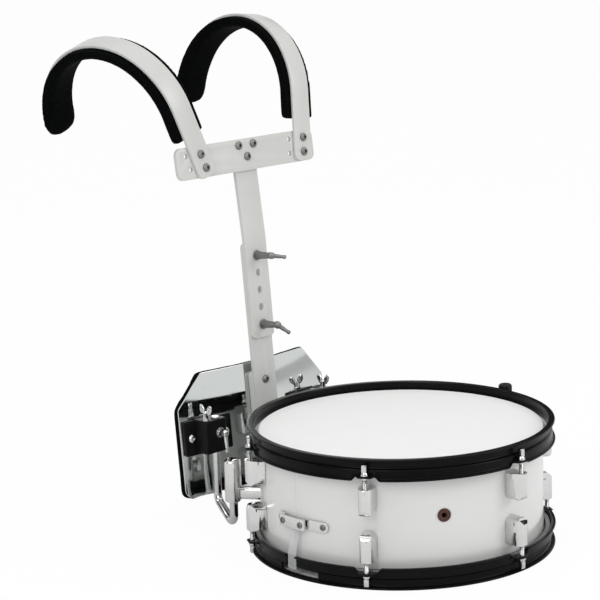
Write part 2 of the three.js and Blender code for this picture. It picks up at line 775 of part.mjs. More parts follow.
// Both straps start under an end plate and turn up outside the gate.
const strapStart = wireLength / 2 + endPlateLength - strapTuck;
const strapBend = strapLevel + strapWidth / 4;
const strapFoot = [[strapStart, strapLevel], [strapRun - strapWidth / 4, strapLevel], [strapRun, strapBend]];

// The butt's strap runs over the hoop's lip and in behind the clamp.
function buttStrap() {
  const under = shellRadius + 2 * seat + buttThickness;
  return ribbon([...strapFoot, [strapRun, hoopHeight + strapThickness], [under, buttHeight - buttTall], [under, buttHeight]]);
}

// The strainer's strap runs straight up into the carriage.
function strainerStrap() {
  return ribbon([...strapFoot, [strapRun, strapClampTop]]);
}

// A curved strip that follows the shell, drawn flat as length by height and bent round the drum
function shellStrip(length, height, inner, outer, corner, offset, steps) {
  const half = (length / 2 / outer);
  const ring = [];
  const shape = new THREE.Shape();
  for (let i = 0; i <= steps; i += 1) ring.push(-half + (2 * half * i) / steps + offset / outer);
  ring.forEach((a, i) => {
    const place = [outer * Math.cos(a), outer * Math.sin(a)];
    if (i) shape.lineTo(...place);
    else shape.moveTo(...place);
  });
  [...ring].reverse().forEach((a) => shape.lineTo(inner * Math.cos(a), inner * Math.sin(a)));
  const strip = slab(shape, height).translate(0, 0, -height / 2);
  const face = roundedBox(offset - length / 2, offset + length / 2, -height / 2, height / 2, corner);
  const trim = panel(face, inner - overrun - buttTall, outer + overrun).rotateZ(-Math.PI / 2).scale(1, -1, 1);
  return common(strip, trim);
}

const buttScrew = (radius, y) => {
  const angle = y / radius;
  const head = revolve([
    [0, -buttThickness / 2], [buttScrewRadius, -buttThickness / 2], [buttScrewRadius, buttScrewHeight / 2],
    [buttScrewRadius - edgeRound, buttScrewHeight], [0, buttScrewHeight],
  ], rodSides);
  return head.rotateY(Math.PI / 2).translate(radius, 0, 0).rotateZ(angle);
};

function buttPlate() {
  const inner = shellRadius + seat;
  const outer = inner + buttThickness;
  const strip = shellStrip(buttLength, buttTall, inner, outer, buttTall / 2, 0, 5);
  const ends = [-1, 1].map((side) => buttScrew(outer, side * (buttLength / 2 - buttScrewInset)));
  return join(strip, ...ends).translate(0, 0, buttHeight);
}

function buttClamp() {
  const bow = (strapWidth / 2) ** 2 / (2 * shellRadius);
  const inner = shellRadius + 4 * seat + buttThickness + strapThickness + bow;
  const outer = inner + clampThickness;
  const low = clampOffset - clampLength / 2 + clampScrewInset;
  const high = clampOffset + clampLength / 2 - clampScrewInset;
  const strip = shellStrip(clampLength, clampTall, inner, outer, edgeRound, clampOffset, 4);
  return join(strip, buttScrew(outer, low), buttScrew(outer, high)).translate(0, 0, buttHeight - edgeRound);
}

const buttSide = station(-90);
piece('butt_plate', buttPlate(), chrome, buttSide);
piece('butt_clamp', buttClamp(), chrome, buttSide);
piece('butt_strap', buttStrap().rotateZ(buttStrapOffset / strapRun), strapPlastic, buttSide);

// Strainer: base plate with two cheeks, sliding carriage, knob with its rod, and lever
function strainerBase() {
  const half = strainerWidth / 2;
  const face = roundedBox(-half, half, strainerLow, strainerHigh, strainerPlate);
  const plate = panel(face, shellRadius - overrun, shellRadius + strainerPlate).rotateZ(-Math.PI / 2);
  const cheekSide = roundedBox(shellRadius + strainerPlate / 2, cheekReach, cheekLow, cheekHigh,
    [0, cheekCorner, cheekCorner, 0]);
  const cheeks = [-1, 1].map((side) => {
    const near = (side * cheekGap) / 2;
    const far = side * (cheekGap / 2 + cheekThickness);
    return panel(cheekSide, Math.min(near, far), Math.max(near, far));
  });
  const reach = cheekGap / 2 + cheekThickness + overrun;
  const pivot = rod(bore(leverPivotRadius), -reach, reach, rodSides).rotateX(Math.PI / 2)
    .translate(leverPivotCircle, 0, leverPivotHeight);
  return onShell(cut(join(plate, ...cheeks), pivot), 90);
}

function strainerCarriage() {
  const half = cheekGap / 2 - running;
  const block = box(carriageBack, carriageReach, -half, half, carriageLow, carriageHigh);
  const ledge = panel(roundedBox(carriageReach - edgeRound, knobCircle + ledgeWidth / 2, -ledgeWidth / 2, ledgeWidth / 2,
    [0, ledgeCorner, ledgeCorner, 0]), -ledgeThickness, 0).rotateX(-Math.PI / 2);
  const shelf = ledge.rotateX(Math.PI).translate(0, 0, carriageHigh);
  const thread = rod(bore(knobRodRadius), carriageLow, carriageHigh + overrun, rodSides).translate(knobCircle, 0, 0);
  const slot = box(strapRun - running, strapRun + strapThickness + running, -half - overrun, half + overrun,
    carriageLow - overrun, strapClampTop + throwDrop + running);
  const pins = box(leverPivotCircle - leverPivotRadius - running, leverPivotCircle + leverPivotRadius + running,
    half - leverArm, half + overrun, carriageLow - overrun, leverPivotHeight + throwDrop + leverPivotRadius + running);
  return cut(join(block, shelf), thread, slot, pins, pins.clone().scale(1, -1, 1));
}

function strainerKnob() {
  const grip = revolve([
    [0, knobLow], [knobRadius - edgeRound, knobLow], [knobRadius, knobLow + edgeRound],
    [knobRadius, knobHigh - edgeRound], [knobRadius - edgeRound, knobHigh], [0, knobHigh],
  ], knobSides);
  const groove = () => rod(knobFluteRadius, knobLow - overrun, knobHigh + overrun, 4).translate(knobRadius, 0, 0);
  const flutes = Array.from({ length: knobFlutes }, (_, i) => groove().rotateZ((2 * Math.PI * i) / knobFlutes));
  const shaft = rod(knobRodRadius, carriageHigh - ledgeThickness, knobLow + overrun, rodSides);
  return join(cut(grip, ...flutes), shaft);
}

function strainerLever() {
  const inner = cheekGap / 2 + cheekThickness + running;
  const outer = inner + leverArm;
  const armHalf = leverGripThickness;
  const armOutline = new THREE.Shape();
  armOutline.moveTo(leverPivotCircle - armHalf, leverPivotHeight);
  armOutline.lineTo(leverPivotCircle - armHalf, leverGripHigh);
  armOutline.lineTo(leverGripBack, leverGripLow + leverGripThickness);
  armOutline.lineTo(leverGripBack + leverGripThickness, leverGripLow + leverGripThickness);
  armOutline.lineTo(leverGripBack + leverGripThickness, leverGripHigh);
  armOutline.lineTo(leverPivotCircle + armHalf, leverPivotHeight);
  armOutline.absarc(leverPivotCircle, leverPivotHeight, armHalf, 0, Math.PI);
  const arms = [-1, 1].map((side) => panel(armOutline, Math.min(side * inner, side * outer), Math.max(side * inner, side * outer)));
  const grip = panel(roundedBox(-outer, outer, leverGripLow, leverGripHigh, leverGripCorner),
    leverGripBack, leverGripBack + leverGripThickness).rotateZ(-Math.PI / 2);
  const pinInner = cheekGap / 2 - leverArm + running;
  const pins = [-1, 1].map((side) => {
    const near = side * pinInner;
    const far = side * (inner + leverArm / 2);
    return rod(leverPivotRadius, Math.min(near, far), Math.max(near, far), rodSides).rotateX(-Math.PI / 2)
      .translate(leverPivotCircle, 0, leverPivotHeight);
  });
  return join(...arms, grip, ...pins);
}

const strainerSide = station(90);
piece('strainer_base', strainerBase(), chrome, strainerSide);
piece('strainer_carriage', strainerCarriage(), chrome, strainerSide);
piece('strainer_knob', strainerKnob().translate(knobCircle, 0, 0), blackPlastic, strainerSide);
piece('strainer_lever', strainerLever(), chrome, strainerSide);
piece('strainer_strap', strainerStrap(), strapPlastic, strainerSide);

// A receiver on the drum, in its station's frame: a foot on the shell, an arm and an upright socket
function receiver(side) {
  const body = slab(roundedBox(-receiverDepth / 2, receiverDepth / 2, -receiverWidth / 2, receiverWidth / 2,
    receiverCorner), receiverHigh - receiverLow).translate(receiverCircle, 0, receiverLow);
  const arm = box(shellRadius + seat, receiverCircle, -receiverArmWidth / 2, receiverArmWidth / 2,
    receiverArmLow, receiverArmHigh);
  const middle = (receiverArmLow + receiverArmHigh) / 2;
  const foot = panel(roundedBox(-receiverFootWidth / 2, receiverFootWidth / 2, middle - receiverFootHeight / 2,
    middle + receiverFootHeight / 2, receiverCorner), shellRadius - overrun, shellRadius + receiverFootThickness)
    .rotateZ(-Math.PI / 2);
  const screws = receiverScrewDrops.map((drop) => {
    const height = receiverHigh - drop;
    const half = receiverScrewSize / 2;
    const near = side * (receiverWidth / 2 - edgeRound);
    const far = side * (receiverWidth / 2 + receiverScrewLength);
    return box(receiverCircle - half, receiverCircle + half, Math.min(near, far), Math.max(near, far),
      height - half, height + half);
  });
  const socket = rod(bore(jRodRadius, jRodSides), receiverLow - overrun, jRodHookTop + running + seat, jRodSides)
    .translate(receiverCircle, 0, 0);
  return onShell(cut(join(body, arm, foot, ...screws), socket), receiverAngle * side);
}

// A J-rod: down from its bracket, forward and up into its receiver
function jRod(side) {
  const foot = jRodRadius + seat;
  const hookX = side * receiverCircle * Math.sin(receiverAngle * rad);
  const hookY = -receiverCircle * Math.cos(receiverAngle * rad);
  const points = [
    new THREE.Vector3(side * jRodX, jRodY, bossTop + jRodAbove), new THREE.Vector3(side * jRodX, jRodY, jRodKnee),
    new THREE.Vector3(hookX, hookY, foot), new THREE.Vector3(hookX, hookY, jRodHookTop),
  ];
  return bentRod(bentCorners(points, [jRodKneeBend, jRodHookBend], jRodBendSteps), jRodRadius, jRodSides);
}

// A wing screw along +Z: shaft below zero, hub and two lobes above
function wingScrew(shaft) {
  const top = wingFoot + wingHubLength;
  const stem = revolve([
    [0, -shaft], [wingShaft, -shaft], [wingShaft, 0], [wingHubRadius, 0], [wingHubRadius, wingFoot],
    [wingHubTip, top], [0, top],
  ], rodSides);
  const lobes = [-1, 1].map((side) => {
    const outline = new THREE.Shape();
    const turn = side * (90 - wingFlare) * rad;
    outline.absellipse(side * wingSpread, top + wingForward, wingLobeLong, wingLobeShort, 0, 2 * Math.PI, false, turn);
    return panel(outline, -wingThickness / 2, wingThickness / 2, wingLobeSteps);
  });
  return join(stem, ...lobes);
}

// A lever screw along +Z: shaft below zero, washer, barrel, and an elbow with an eye and a tapered lever
function leverScrew(shaft, stand, length, angle) {
  const stem = revolve([
    [0, -shaft], [leverShaft, -shaft], [leverShaft, 0], [leverWasher, 0], [leverWasher, leverWasherThickness],
    [leverBarrel, leverWasherThickness], [leverNeck, stand], [0, stand],
  ], rodSides);
  const round = leverElbow * Math.cos(Math.PI / 4);
  const elbow = revolve([
    [0, -leverElbow], [round, -round], [leverElbow, 0], [round, round], [0, leverElbow],
  ], rodSides).translate(0, 0, stand);
  const lever = revolve([[0, 0], [leverRoot, 0], [leverTip, length], [0, length]], rodSides)
    .rotateY(angle * rad).translate(0, 0, stand);
  const eye = rod(leverEye, -leverElbow - overrun, leverElbow + overrun, rodSides)
    .rotateX(Math.PI / 2).translate(0, 0, stand);
  return cut(join(stem, elbow, lever), eye);
}

// Stands a screw on a face that looks forwards, with its lever turned from +X upwards.
function facingFront(mesh, x, y, z, turn) {
  mesh.position.set(x, y, z);
  mesh.rotation.set(Math.PI / 2, 0, turn * rad);
}

// A bolt head along +Z, standing on zero, with its root sunk into what carries it
function boltHead() {
  return revolve([
    [0, -boltRoot], [boltHeadRadius, -boltRoot], [boltHeadRadius, boltHeadHeight / 2],
    [boltHeadRadius / 2, boltHeadHeight], [0, boltHeadHeight],
  ], boltSides);
}

// The frame of a wing of the belly plate, whose front face is its XZ plane
const plateFrame = (side) => new THREE.Matrix4().makeTranslation(postX, postY, postZ)
  .multiply(new THREE.Matrix4().makeRotationX(-postLean * rad))
  .multiply(new THREE.Matrix4().makeTranslation(side * plateBendAt, plateFront, 0))
  .multiply(new THREE.Matrix4().makeRotationZ(side * plateBend * rad));

for (const [name, side] of [['left', 1], ['right', -1]]) {
  piece(`receiver_${name}`, receiver(side), chrome, station(receiverAngle * side));
  piece(`j_rod_${name}`, jRod(side), chrome);
}

// The carrier's frame leans back. In it Y is the depth behind the upper bar's front face.
const carrier = new THREE.Group();
carrier.position.set(postX, postY, postZ);
carrier.rotation.x = -postLean * rad;
model.add(carrier);

// The lower bar, with the spacer block behind it that stands on the belly plate
function lowerBar() {
  const half = barWidth / 2;
  const outline = roundedBox(-half, half, lowerBarLow, lowerBarHigh, barCorner);
  outline.holes.push(slotHole(0, slotLow, slotHigh, slotWidth / 2));
  const bar = panel(outline, lowerBarFront, lowerBarBack, 3);
  const spacer = panel(roundedBox(-half, half, spacerLow, spacerHigh, barCorner),
    lowerBarBack - barThickness / 2, plateFront - seat);
  const bolts = plateBoltHeights.map((height) => boltHead().rotateX(Math.PI / 2).translate(0, lowerBarFront, height));
  return join(bar, spacer, ...bolts);
}

function upperBar() {
  const side = new THREE.Shape();
  const angle = bendAngle * rad;
  const reach = bendRadius * Math.tan(angle / 2);
  const along = (height, depth) => [
    depth * Math.cos(angle) + height * Math.sin(angle), bendHeight + height * Math.cos(angle) - depth * Math.sin(angle),
  ];
  side.moveTo(0, upperBarLow).lineTo(0, bendHeight - reach).lineTo(...along(reach, 0)).lineTo(...along(postAboveBend, 0));
  side.lineTo(...along(postAboveBend, barThickness)).lineTo(...along(reach, barThickness));
  side.lineTo(barThickness, bendHeight - reach).lineTo(barThickness, upperBarLow);
  const bar = panel(side, -barWidth / 2, barWidth / 2).rotateZ(Math.PI / 2).scale(-1, 1, 1);
  const top = bendHeight + postAboveBend + barCorner + overrun;
  const front = roundedBox(-barWidth / 2, barWidth / 2, upperBarLow, top, barCorner);
  for (let i = 0; i < holeCount; i += 1) {
    const middle = lowestHole + i * holePitch;
    front.holes.push(slotHole(0, middle - holeLength / 2, middle + holeLength / 2, holeRadius));
  }
  return common(bar, panel(front, -overrun, barThickness + postAboveBend, 3));
}

// The belly plate's outline for one wing or the middle, cut from the whole outline
function plateOutline(grow) {
  const outline = new THREE.Shape();
  const low = plateLow - grow;
  const high = plateHigh + grow;
  const half = plateHalf + grow;
  const topHalf = plateTopHalf + grow;
  const r = plateCorner;
  const t = plateTopCorner;
  const slope = Math.atan2(high - plateShoulder, half - topHalf);
  const dx = t * Math.cos(slope);
  const dz = t * Math.sin(slope);
  outline.moveTo(r - half, low).lineTo(half - r, low).absarc(half - r, low + r, r, -Math.PI / 2, 0);
  outline.lineTo(half, plateShoulder - t).lineTo(half - dx, plateShoulder + dz);
  outline.lineTo(topHalf + dx, high - dz).lineTo(topHalf - t, high).lineTo(t - topHalf, high);
  outline.lineTo(-topHalf - dx, high - dz).lineTo(dx - half, plateShoulder + dz).lineTo(-half, plateShoulder - t);
  outline.lineTo(-half, low + r).absarc(r - half, low + r, r, Math.PI, 1.5 * Math.PI);
  return outline;
}

// Bends the two wings of a flat piece, made from y0 to y1 on the plate's outline, back from plateFront.
function bent(flat, grow, y0, y1) {
  const tall = plateTall + plateHalf;
  const middle = common(flat, box(-plateBendAt, plateBendAt, y0 - overrun, y1 + overrun, -tall, tall));
  const wings = [-1, 1].map((side) => {
    const near = side * (plateBendAt - edgeRound);
    const far = side * (plateHalf + grow + overrun);
    const cutter = box(Math.min(near, far), Math.max(near, far), y0 - overrun, y1 + overrun, -tall, tall);
    const wing = common(flat, cutter).translate(-side * plateBendAt, -plateFront, 0);
    return wing.rotateZ(side * plateBend * rad).translate(side * plateBendAt, plateFront, 0);
  });
  return join(middle, ...wings);
}

// Skins rings of so many points each into a closed body with flat ends.
function skin(positions, ringCount, size) {
  const faces = [];
  for (let ring = 0; ring < ringCount - 1; ring += 1) {
    for (let k = 0; k < size; k += 1) {
      const a = ring * size + k;
      const b = ring * size + ((k + 1) % size);
      faces.push(a, b, a + size, b, b + size, a + size);
    }
  }
  for (let k = 1; k < size - 1; k += 1) {
    const last = (ringCount - 1) * size;
    faces.push(0, k + 1, k, last, last + k, last + k + 1);
  }
  const body = new THREE.BufferGeometry();
  body.setAttribute('position', new THREE.Float32BufferAttribute(positions, 3));
  body.setIndex(faces);
  return body;
}

// The belly pad's rings, as shares of its thickness from the plate and shares of bellyPadRound inside its outline:
// drawn in at the plate and at half its depth, and crowned towards the player
const bellyPadShares = [[0, 0.25], [0.2, 0], [0.5, 0.15], [0.75, 0.02], [0.91, 0.45], [0.98, 1.4], [1, 3.4]];

function bellyPad() {
  const front = plateBack + seat;
  const positions = [];
  let size = 0;
  bellyPadShares.forEach(([deep, inset]) => {
    const ring = plateOutline(bellyPadOverhang - inset * bellyPadRound).getPoints(2);
    if (ring[0].distanceTo(ring[ring.length - 1]) < seat) ring.pop();
    ring.forEach((point) => positions.push(point.x, front + deep * bellyPadThickness, point.y));
    size = ring.length;
  });
  return bent(skin(positions, bellyPadShares.length, size), bellyPadOverhang, front, front + bellyPadThickness);
}

piece('post_lower_bar', lowerBar(), whitePaint, carrier);
piece('post_upper_bar', upperBar(), whitePaint, carrier);
piece('belly_plate', bent(panel(plateOutline(0), plateFront, plateBack), 0, plateFront, plateBack), chrome, carrier);
piece('belly_pad', bellyPad(), blackFoam, carrier);

// A bracket on a wing of the belly plate: a flat foot, and a boss with an upright bore for the J-rod
function bracket(side) {
  const middle = side * ((jRodX + bracketOffset - plateBendAt) / Math.cos(plateBend * rad));
  const half = bracketWidth / 2;
  const outline = roundedBox(middle - half, middle + half, bracketMiddle - bracketHeight / 2,
    bracketMiddle + bracketHeight / 2, lugCorner);
  const foot = panel(outline, -seat - bracketThickness, -seat);
  const screws = [-1, 1].map((end) => boltHead().rotateX(Math.PI / 2)
    .translate(middle + end * bracketScrewReach, -seat - bracketThickness, bracketMiddle));
  const onPlate = plateFrame(side);
  const flat = join(foot, ...screws).applyMatrix4(onPlate);
  const back = new THREE.Vector3(middle, -seat, bracketMiddle).applyMatrix4(onPlate).y;
  const inside = side * (jRodX - bossInner);
  const outside = side * (jRodX + bossOuter);
  const boss = slab(roundedBox(Math.min(inside, outside), Math.max(inside, outside), jRodY - bossReach,
    back + bossDepth, [bossCorner, bossCorner, 0, 0]), bossHeight).translate(0, 0, bossTop - bossHeight);
  const behind = box(-2 * plateHalf, 2 * plateHalf, 0, 2 * bossHeight, -2 * plateHalf, 2 * plateHalf)
    .translate(0, -seat - bracketThickness / 2, 0).applyMatrix4(onPlate);
  const socket = rod(bore(jRodRadius, jRodSides), bossTop - bossHeight - overrun, bossTop + overrun, jRodSides)
    .translate(side * jRodX, jRodY, 0);
  const leverHole = rod(bore(leverShaft), 0, bossHeight, rodSides).rotateX(Math.PI / 2)
    .translate(side * jRodX, jRodY, bossTop - bossHeight / 2 + bracketLeverRise);
  const levelHole = rod(bore(wingShaft), bossTop - levelScrewLength - overrun, bossTop + overrun, rodSides)
    .translate(side * levelScrewX, levelScrewY, 0);
  return cut(join(cut(boss, behind), flat), socket, leverHole, levelHole);
}

for (const [name, side] of [['left', 1], ['right', -1]]) {
  piece(`bracket_${name}`, bracket(side), blackPlastic);
  const level = piece(`bracket_wing_screw_${name}`, wingScrew(levelScrewLength), chrome);
  level.position.set(side * levelScrewX, levelScrewY, bossTop + seat);
  level.rotation.z = Math.PI / 2;
  const lever = piece(`bracket_lever_screw_${name}`,
    leverScrew(bossReach - jRodRadius - running, bracketLeverStand, bracketLeverLength, bracketLeverAngle), chrome);
  facingFront(lever, side * jRodX, jRodY - bossReach - seat, bossTop - bossHeight / 2 + bracketLeverRise,
    bracketLeverTurn);
}

// The post's two lever screws, through its lowest and highest holes and the lower bar's slot
postLeverTurns.forEach((turn, i) => {
  const screw = piece(`post_lever_screw_${i + 1}`,
    leverScrew(lowerBarBack + seat, postLeverStand, postLeverLength, postLeverAngle), steelWire, carrier);
  facingFront(screw, 0, -seat, lowestHole + i * (holeCount - 1) * holePitch, turn);
});

// The yoke's frame stands on the bend of the post, with Z zero at the lower shoulder bolts.
const yoke = new THREE.Group();
yoke.position.set(0, yokeHeight * Math.sin(bendAngle * rad), bendHeight + yokeHeight * Math.cos(bendAngle * rad));
yoke.rotation.x = -bendAngle * rad;
carrier.add(yoke);
const crossbarBack = -seat;
const crossbarFront = crossbarBack - crossbarThickness;
const shoulderBack = crossbarFront - seat;
const shoulderFront = shoulderBack - shoulderThickness;
// Where the two bolts of a shoulder bar pass through the crossbar, across and up from its lower one
function shoulderBolts(splay) {
  return [0, shoulderBoltPitch].map((along) => [along * Math.sin(splay * rad), along * Math.cos(splay * rad)]);
}

function crossbar() {
  const outline = roundedBox(-crossbarHalf, crossbarHalf, crossbarLow, crossbarHigh, crossbarCorner);
  for (const { side, splay } of shoulders) {
    for (const place of [innerHole, outerHole]) {
      for (const [across, up] of shoulderBolts(splay)) {
        outline.holes.push(roundHole(side * (place + across), up, bore(shoulderShank)));
      }
    }
  }
  const bar = panel(outline, crossbarFront, crossbarBack);
  const bolts = centreBolts.map(([x, z]) => boltHead().rotateX(Math.PI / 2).translate(x, crossbarFront, z));
  return join(bar, ...bolts);
}

// Points of a shoulder bar seen from the side, as [back, up, turn] at a depth inside its outer face
function shoulderLine(depth, from, past) {
  const points = [];
  let place = [0, shoulderStraight];
  let turn = 0;
  const inward = () => [Math.cos(turn), -Math.sin(turn)];
  const add = () => points.push([place[0] + depth * inward()[0], place[1] + depth * inward()[1], turn]);
  if (from < shoulderStraight) points.push([depth, from, 0]);
  add();
  shoulderArcRadii.forEach((radius, arc) => {
    const degrees = shoulderArcAngles[arc];
    const centre = [place[0] + radius * inward()[0], place[1] + radius * inward()[1]];
    const steps = Math.ceil(degrees / arcStep);
    for (let i = 0; i < steps; i += 1) {
      turn += (degrees * rad) / steps;
      place = [centre[0] - radius * inward()[0], centre[1] - radius * inward()[1]];
      add();
    }
  });
  if (past) {
    place = [place[0] + past * Math.sin(turn), place[1] + past * Math.cos(turn)];
    add();
  }
  return points;
}

// Leans the arc outwards as it runs back, without turning its flat lower end.
function toeOut(side, toe) {
  const shear = new THREE.Matrix4();
  shear.set(1, side * Math.tan(toe * rad), 0, 0, 0, 1, 0, 0, 0, 0, 1, 0, 0, 0, 0, 1);
  return shear;
}

function shoulderBar(side, toe) {
  const outer = shoulderLine(0, -shoulderTail, 0);
  const inner = shoulderLine(shoulderThickness, -shoulderTail, 0);
  const outline = new THREE.Shape();
  [...outer, ...inner.reverse()].forEach(([back, up], i) => (i ? outline.lineTo(back, up) : outline.moveTo(back, up)));
  const strip = panel(outline, -shoulderWidth / 2, shoulderWidth / 2).rotateZ(Math.PI / 2).scale(-1, 1, 1);
  const half = shoulderWidth / 2;
  const tall = 4 * shoulderArcRadii[0];
  const front = panel(roundedBox(-half, half, -shoulderTail, tall, [shoulderCorner, shoulderCorner, 0, 0]),
    -overrun, tall);
  const bar = common(strip, front);
  const heads = [0, shoulderBoltPitch].map((up) => boltHead().rotateX(Math.PI / 2).translate(0, 0, up));
  const shank = seat + crossbarThickness + seat;
  const bolts = [0, shoulderBoltPitch].flatMap((up) => {
    const stem = rod(shoulderShank, -shoulderThickness - shank - nutHeight, -edgeRound, rodSides);
    const nut = rod(nutRadius, -shoulderThickness - shank - nutHeight, -shoulderThickness - shank, nutSides);
    return [stem, nut].map((part) => part.rotateX(Math.PI / 2).translate(0, 0, up));
  });
  return join(bar.applyMatrix4(toeOut(side, toe)), ...heads, ...bolts);
}

// Across a cushion, as shares of its width and thickness: a flat side on the bar, drawn-in flanks and a crown
const padSectionShares = [
  [-0.47, 0], [-0.5, 0.2], [-0.47, 0.52], [-0.49, 0.74], [-0.38, 0.9], [-0.18, 0.975], [0, 1],
  [0.18, 0.975], [0.38, 0.9], [0.49, 0.74], [0.47, 0.52], [0.5, 0.2], [0.47, 0],
];
// Along its round ends, as shares of padEndRound from the very end, with the width and thickness there
const padEndShares = [[0, 0.32, 0.5], [0.12, 0.56, 0.72], [0.35, 0.8, 0.88], [0.65, 0.95, 0.96]];

// The place on a line of [back, up, turn] points at a distance along it
function alongLine(line, distance) {
  let gone = 0;
  for (let i = 1; i < line.length; i += 1) {
    const step = Math.hypot(line[i][0] - line[i - 1][0], line[i][1] - line[i - 1][1]);
    if (gone + step >= distance || i === line.length - 1) {
      const share = (distance - gone) / step;
      return line[i].map((value, k) => line[i - 1][k] + share * (value - line[i - 1][k]));
    }
    gone += step;
  }
  return line[0];
}

// A shoulder pad: a crowned cushion along the bar's inner face, with round ends
function shoulderPad(side, toe) {
  const line = shoulderLine(shoulderThickness + seat, padStart, padOverrun);
  const lengths = line.map((point, i) => (i ? Math.hypot(point[0] - line[i - 1][0], point[1] - line[i - 1][1]) : 0));
  const total = lengths.reduce((a, b) => a + b, 0);
  const middles = Math.floor((total - 2 * padEndRound) / padStep);
  const rings = [];
  padEndShares.forEach(([from, wide, thick]) => rings.push([from * padEndRound, wide, thick]));
  for (let i = 0; i <= middles; i += 1) {
    rings.push([padEndRound + ((total - 2 * padEndRound) * i) / middles, 1, 1]);
  }
  [...padEndShares].reverse().forEach(([from, wide, thick]) => rings.push([total - from * padEndRound, wide, thick]));
  const positions = [];
  rings.forEach(([distance, wide, thick]) => {
    const [back, up, turn] = alongLine(line, distance);
    padSectionShares.forEach(([across, deep]) => {
      const depth = deep * thick * padThickness;
      positions.push(across * wide * padWidth, back + depth * Math.cos(turn), up - depth * Math.sin(turn));
    });
  });
  return skin(positions, rings.length, padSectionShares.length).applyMatrix4(toeOut(side, toe));
}

piece('crossbar', crossbar(), whitePaint, yoke);
for (const { name, side, hole, splay, toe } of shoulders) {
  const shoulder = new THREE.Group();
  shoulder.position.set(side * hole, shoulderFront, 0);
  shoulder.rotation.y = side * splay * rad;
  yoke.add(shoulder);
  piece(`shoulder_bar_${name}`, shoulderBar(side, toe), whitePaint, shoulder);
  piece(`shoulder_pad_${name}`, shoulderPad(side, toe), blackFoam, shoulder);
}

// The part's origin is under the middle of its whole footprint, on the floor.
const extent = new THREE.Box3().setFromObject(model, true);
const middle = extent.getCenter(new THREE.Vector3());
model.position.set(-middle.x, -middle.y, -extent.min.z);

const part = new THREE.Group();
part.add(model);
export default part;
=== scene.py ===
# Marching snare drum on its shoulder carrier, dressed for a studio picture.
# Shapes are drawn in millimetres: the drum's axis is Z, its front is -Y and the player stands at +Y.
import math

import bmesh
import bpy
from mathutils import Matrix, Vector


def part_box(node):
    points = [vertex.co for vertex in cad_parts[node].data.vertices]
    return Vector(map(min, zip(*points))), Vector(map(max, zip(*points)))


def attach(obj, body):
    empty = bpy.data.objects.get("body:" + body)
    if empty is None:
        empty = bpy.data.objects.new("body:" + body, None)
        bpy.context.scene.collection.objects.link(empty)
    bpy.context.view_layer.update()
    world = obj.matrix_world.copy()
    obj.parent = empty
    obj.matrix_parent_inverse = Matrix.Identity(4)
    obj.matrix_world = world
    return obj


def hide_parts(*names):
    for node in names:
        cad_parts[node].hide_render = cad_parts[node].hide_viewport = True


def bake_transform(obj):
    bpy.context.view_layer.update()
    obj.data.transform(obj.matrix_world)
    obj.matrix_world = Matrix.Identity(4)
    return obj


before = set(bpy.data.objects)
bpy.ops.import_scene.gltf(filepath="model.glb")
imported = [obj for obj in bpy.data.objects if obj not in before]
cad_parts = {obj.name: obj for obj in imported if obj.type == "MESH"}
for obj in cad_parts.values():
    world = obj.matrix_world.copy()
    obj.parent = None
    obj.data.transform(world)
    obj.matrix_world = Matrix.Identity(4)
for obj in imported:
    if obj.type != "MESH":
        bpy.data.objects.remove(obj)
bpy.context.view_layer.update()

# ---------------------------------------------------------------- sizes, in millimetres

SHELL = 177.8
WALL = 6.4
LOW_EDGE = 10.15
HIGH_EDGE = 149.85
TALL = 160.0
SEAT = 0.3

HOOP_INNER = 183.6
RIM = 192.5
SKIRT = 189.5
LIP = 193.0
SHEET = 2.4
HOOP_TALL = 26.8
EAR_DEPTH = 19.0
EAR_REACH = 201.0

ROD_CIRCLE = 195.0
LUG_REACH = 201.5
LUG_HIGH = 125.0
LUG_LOW = 90.0
LUG_ANGLES = [0, 60, 120, 180, 240, 300]

VENT_ANGLE = -31
VENT_HIGH = 86.0
BUTT_HIGH = 67.0
RECEIVER_CIRCLE = 222.0
RECEIVER_ANGLE = 150
J_ROD = 5.5

BAR = 38.0
LEAN = 5
BEND = 196.0
PLATE_FRONT = 18.6
PLATE_FOLD_AT = 25.0
PLATE_FOLD = 8
BOSS_TOP = 137.19
# The shoulder bars: half their width, their straight part, and the radius and degrees of each arc
SHOULDER_HALF = 15.0
SHOULDER_STRAIGHT = 82.0
SHOULDER_ARCS = [(116, 40), (105, 90), (122, 41)]
# Each bar's side, its hole in the crossbar, and how far it leans outwards: its splay and its toe
SHOULDERS = {"left": (1, 99.5, 5.5, -3.4), "right": (-1, 77.5, 19.0, 8.6)}
PAD_START = 43.0
PAD_OVERRUN = 14.0

# ---------------------------------------------------------------- places

SHELL_LOW, SHELL_HIGH = (Vector(corner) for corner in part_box("shell"))
TO_ROW = Matrix.Translation(((SHELL_LOW.x + SHELL_HIGH.x) / 2, (SHELL_LOW.y + SHELL_HIGH.y) / 2, 0)) @ Matrix.Diagonal(
    (0.001, 0.001, 0.001, 1))


def turn(degrees, axis):
    return Matrix.Rotation(math.radians(degrees), 4, axis)


def shift(x, y, z):
    return Matrix.Translation((x, y, z))


def station(angle):
    """A place on the drum's side: its +X points straight out, its +Y runs round the drum."""
    return turn(angle - 90, "Z")


TURNED_OVER = shift(0, 0, TALL) @ turn(180, "X")
CARRIER = shift(0, 236, 165) @ turn(-LEAN, "X")
YOKE = CARRIER @ shift(0, 5.39, 298.86) @ turn(-3, "X")


def plate_wing(side):
    """The front face of one wing of the belly plate."""
    return CARRIER @ shift(side * PLATE_FOLD_AT, PLATE_FRONT, 0) @ turn(side * PLATE_FOLD, "Z")


# ---------------------------------------------------------------- shapes


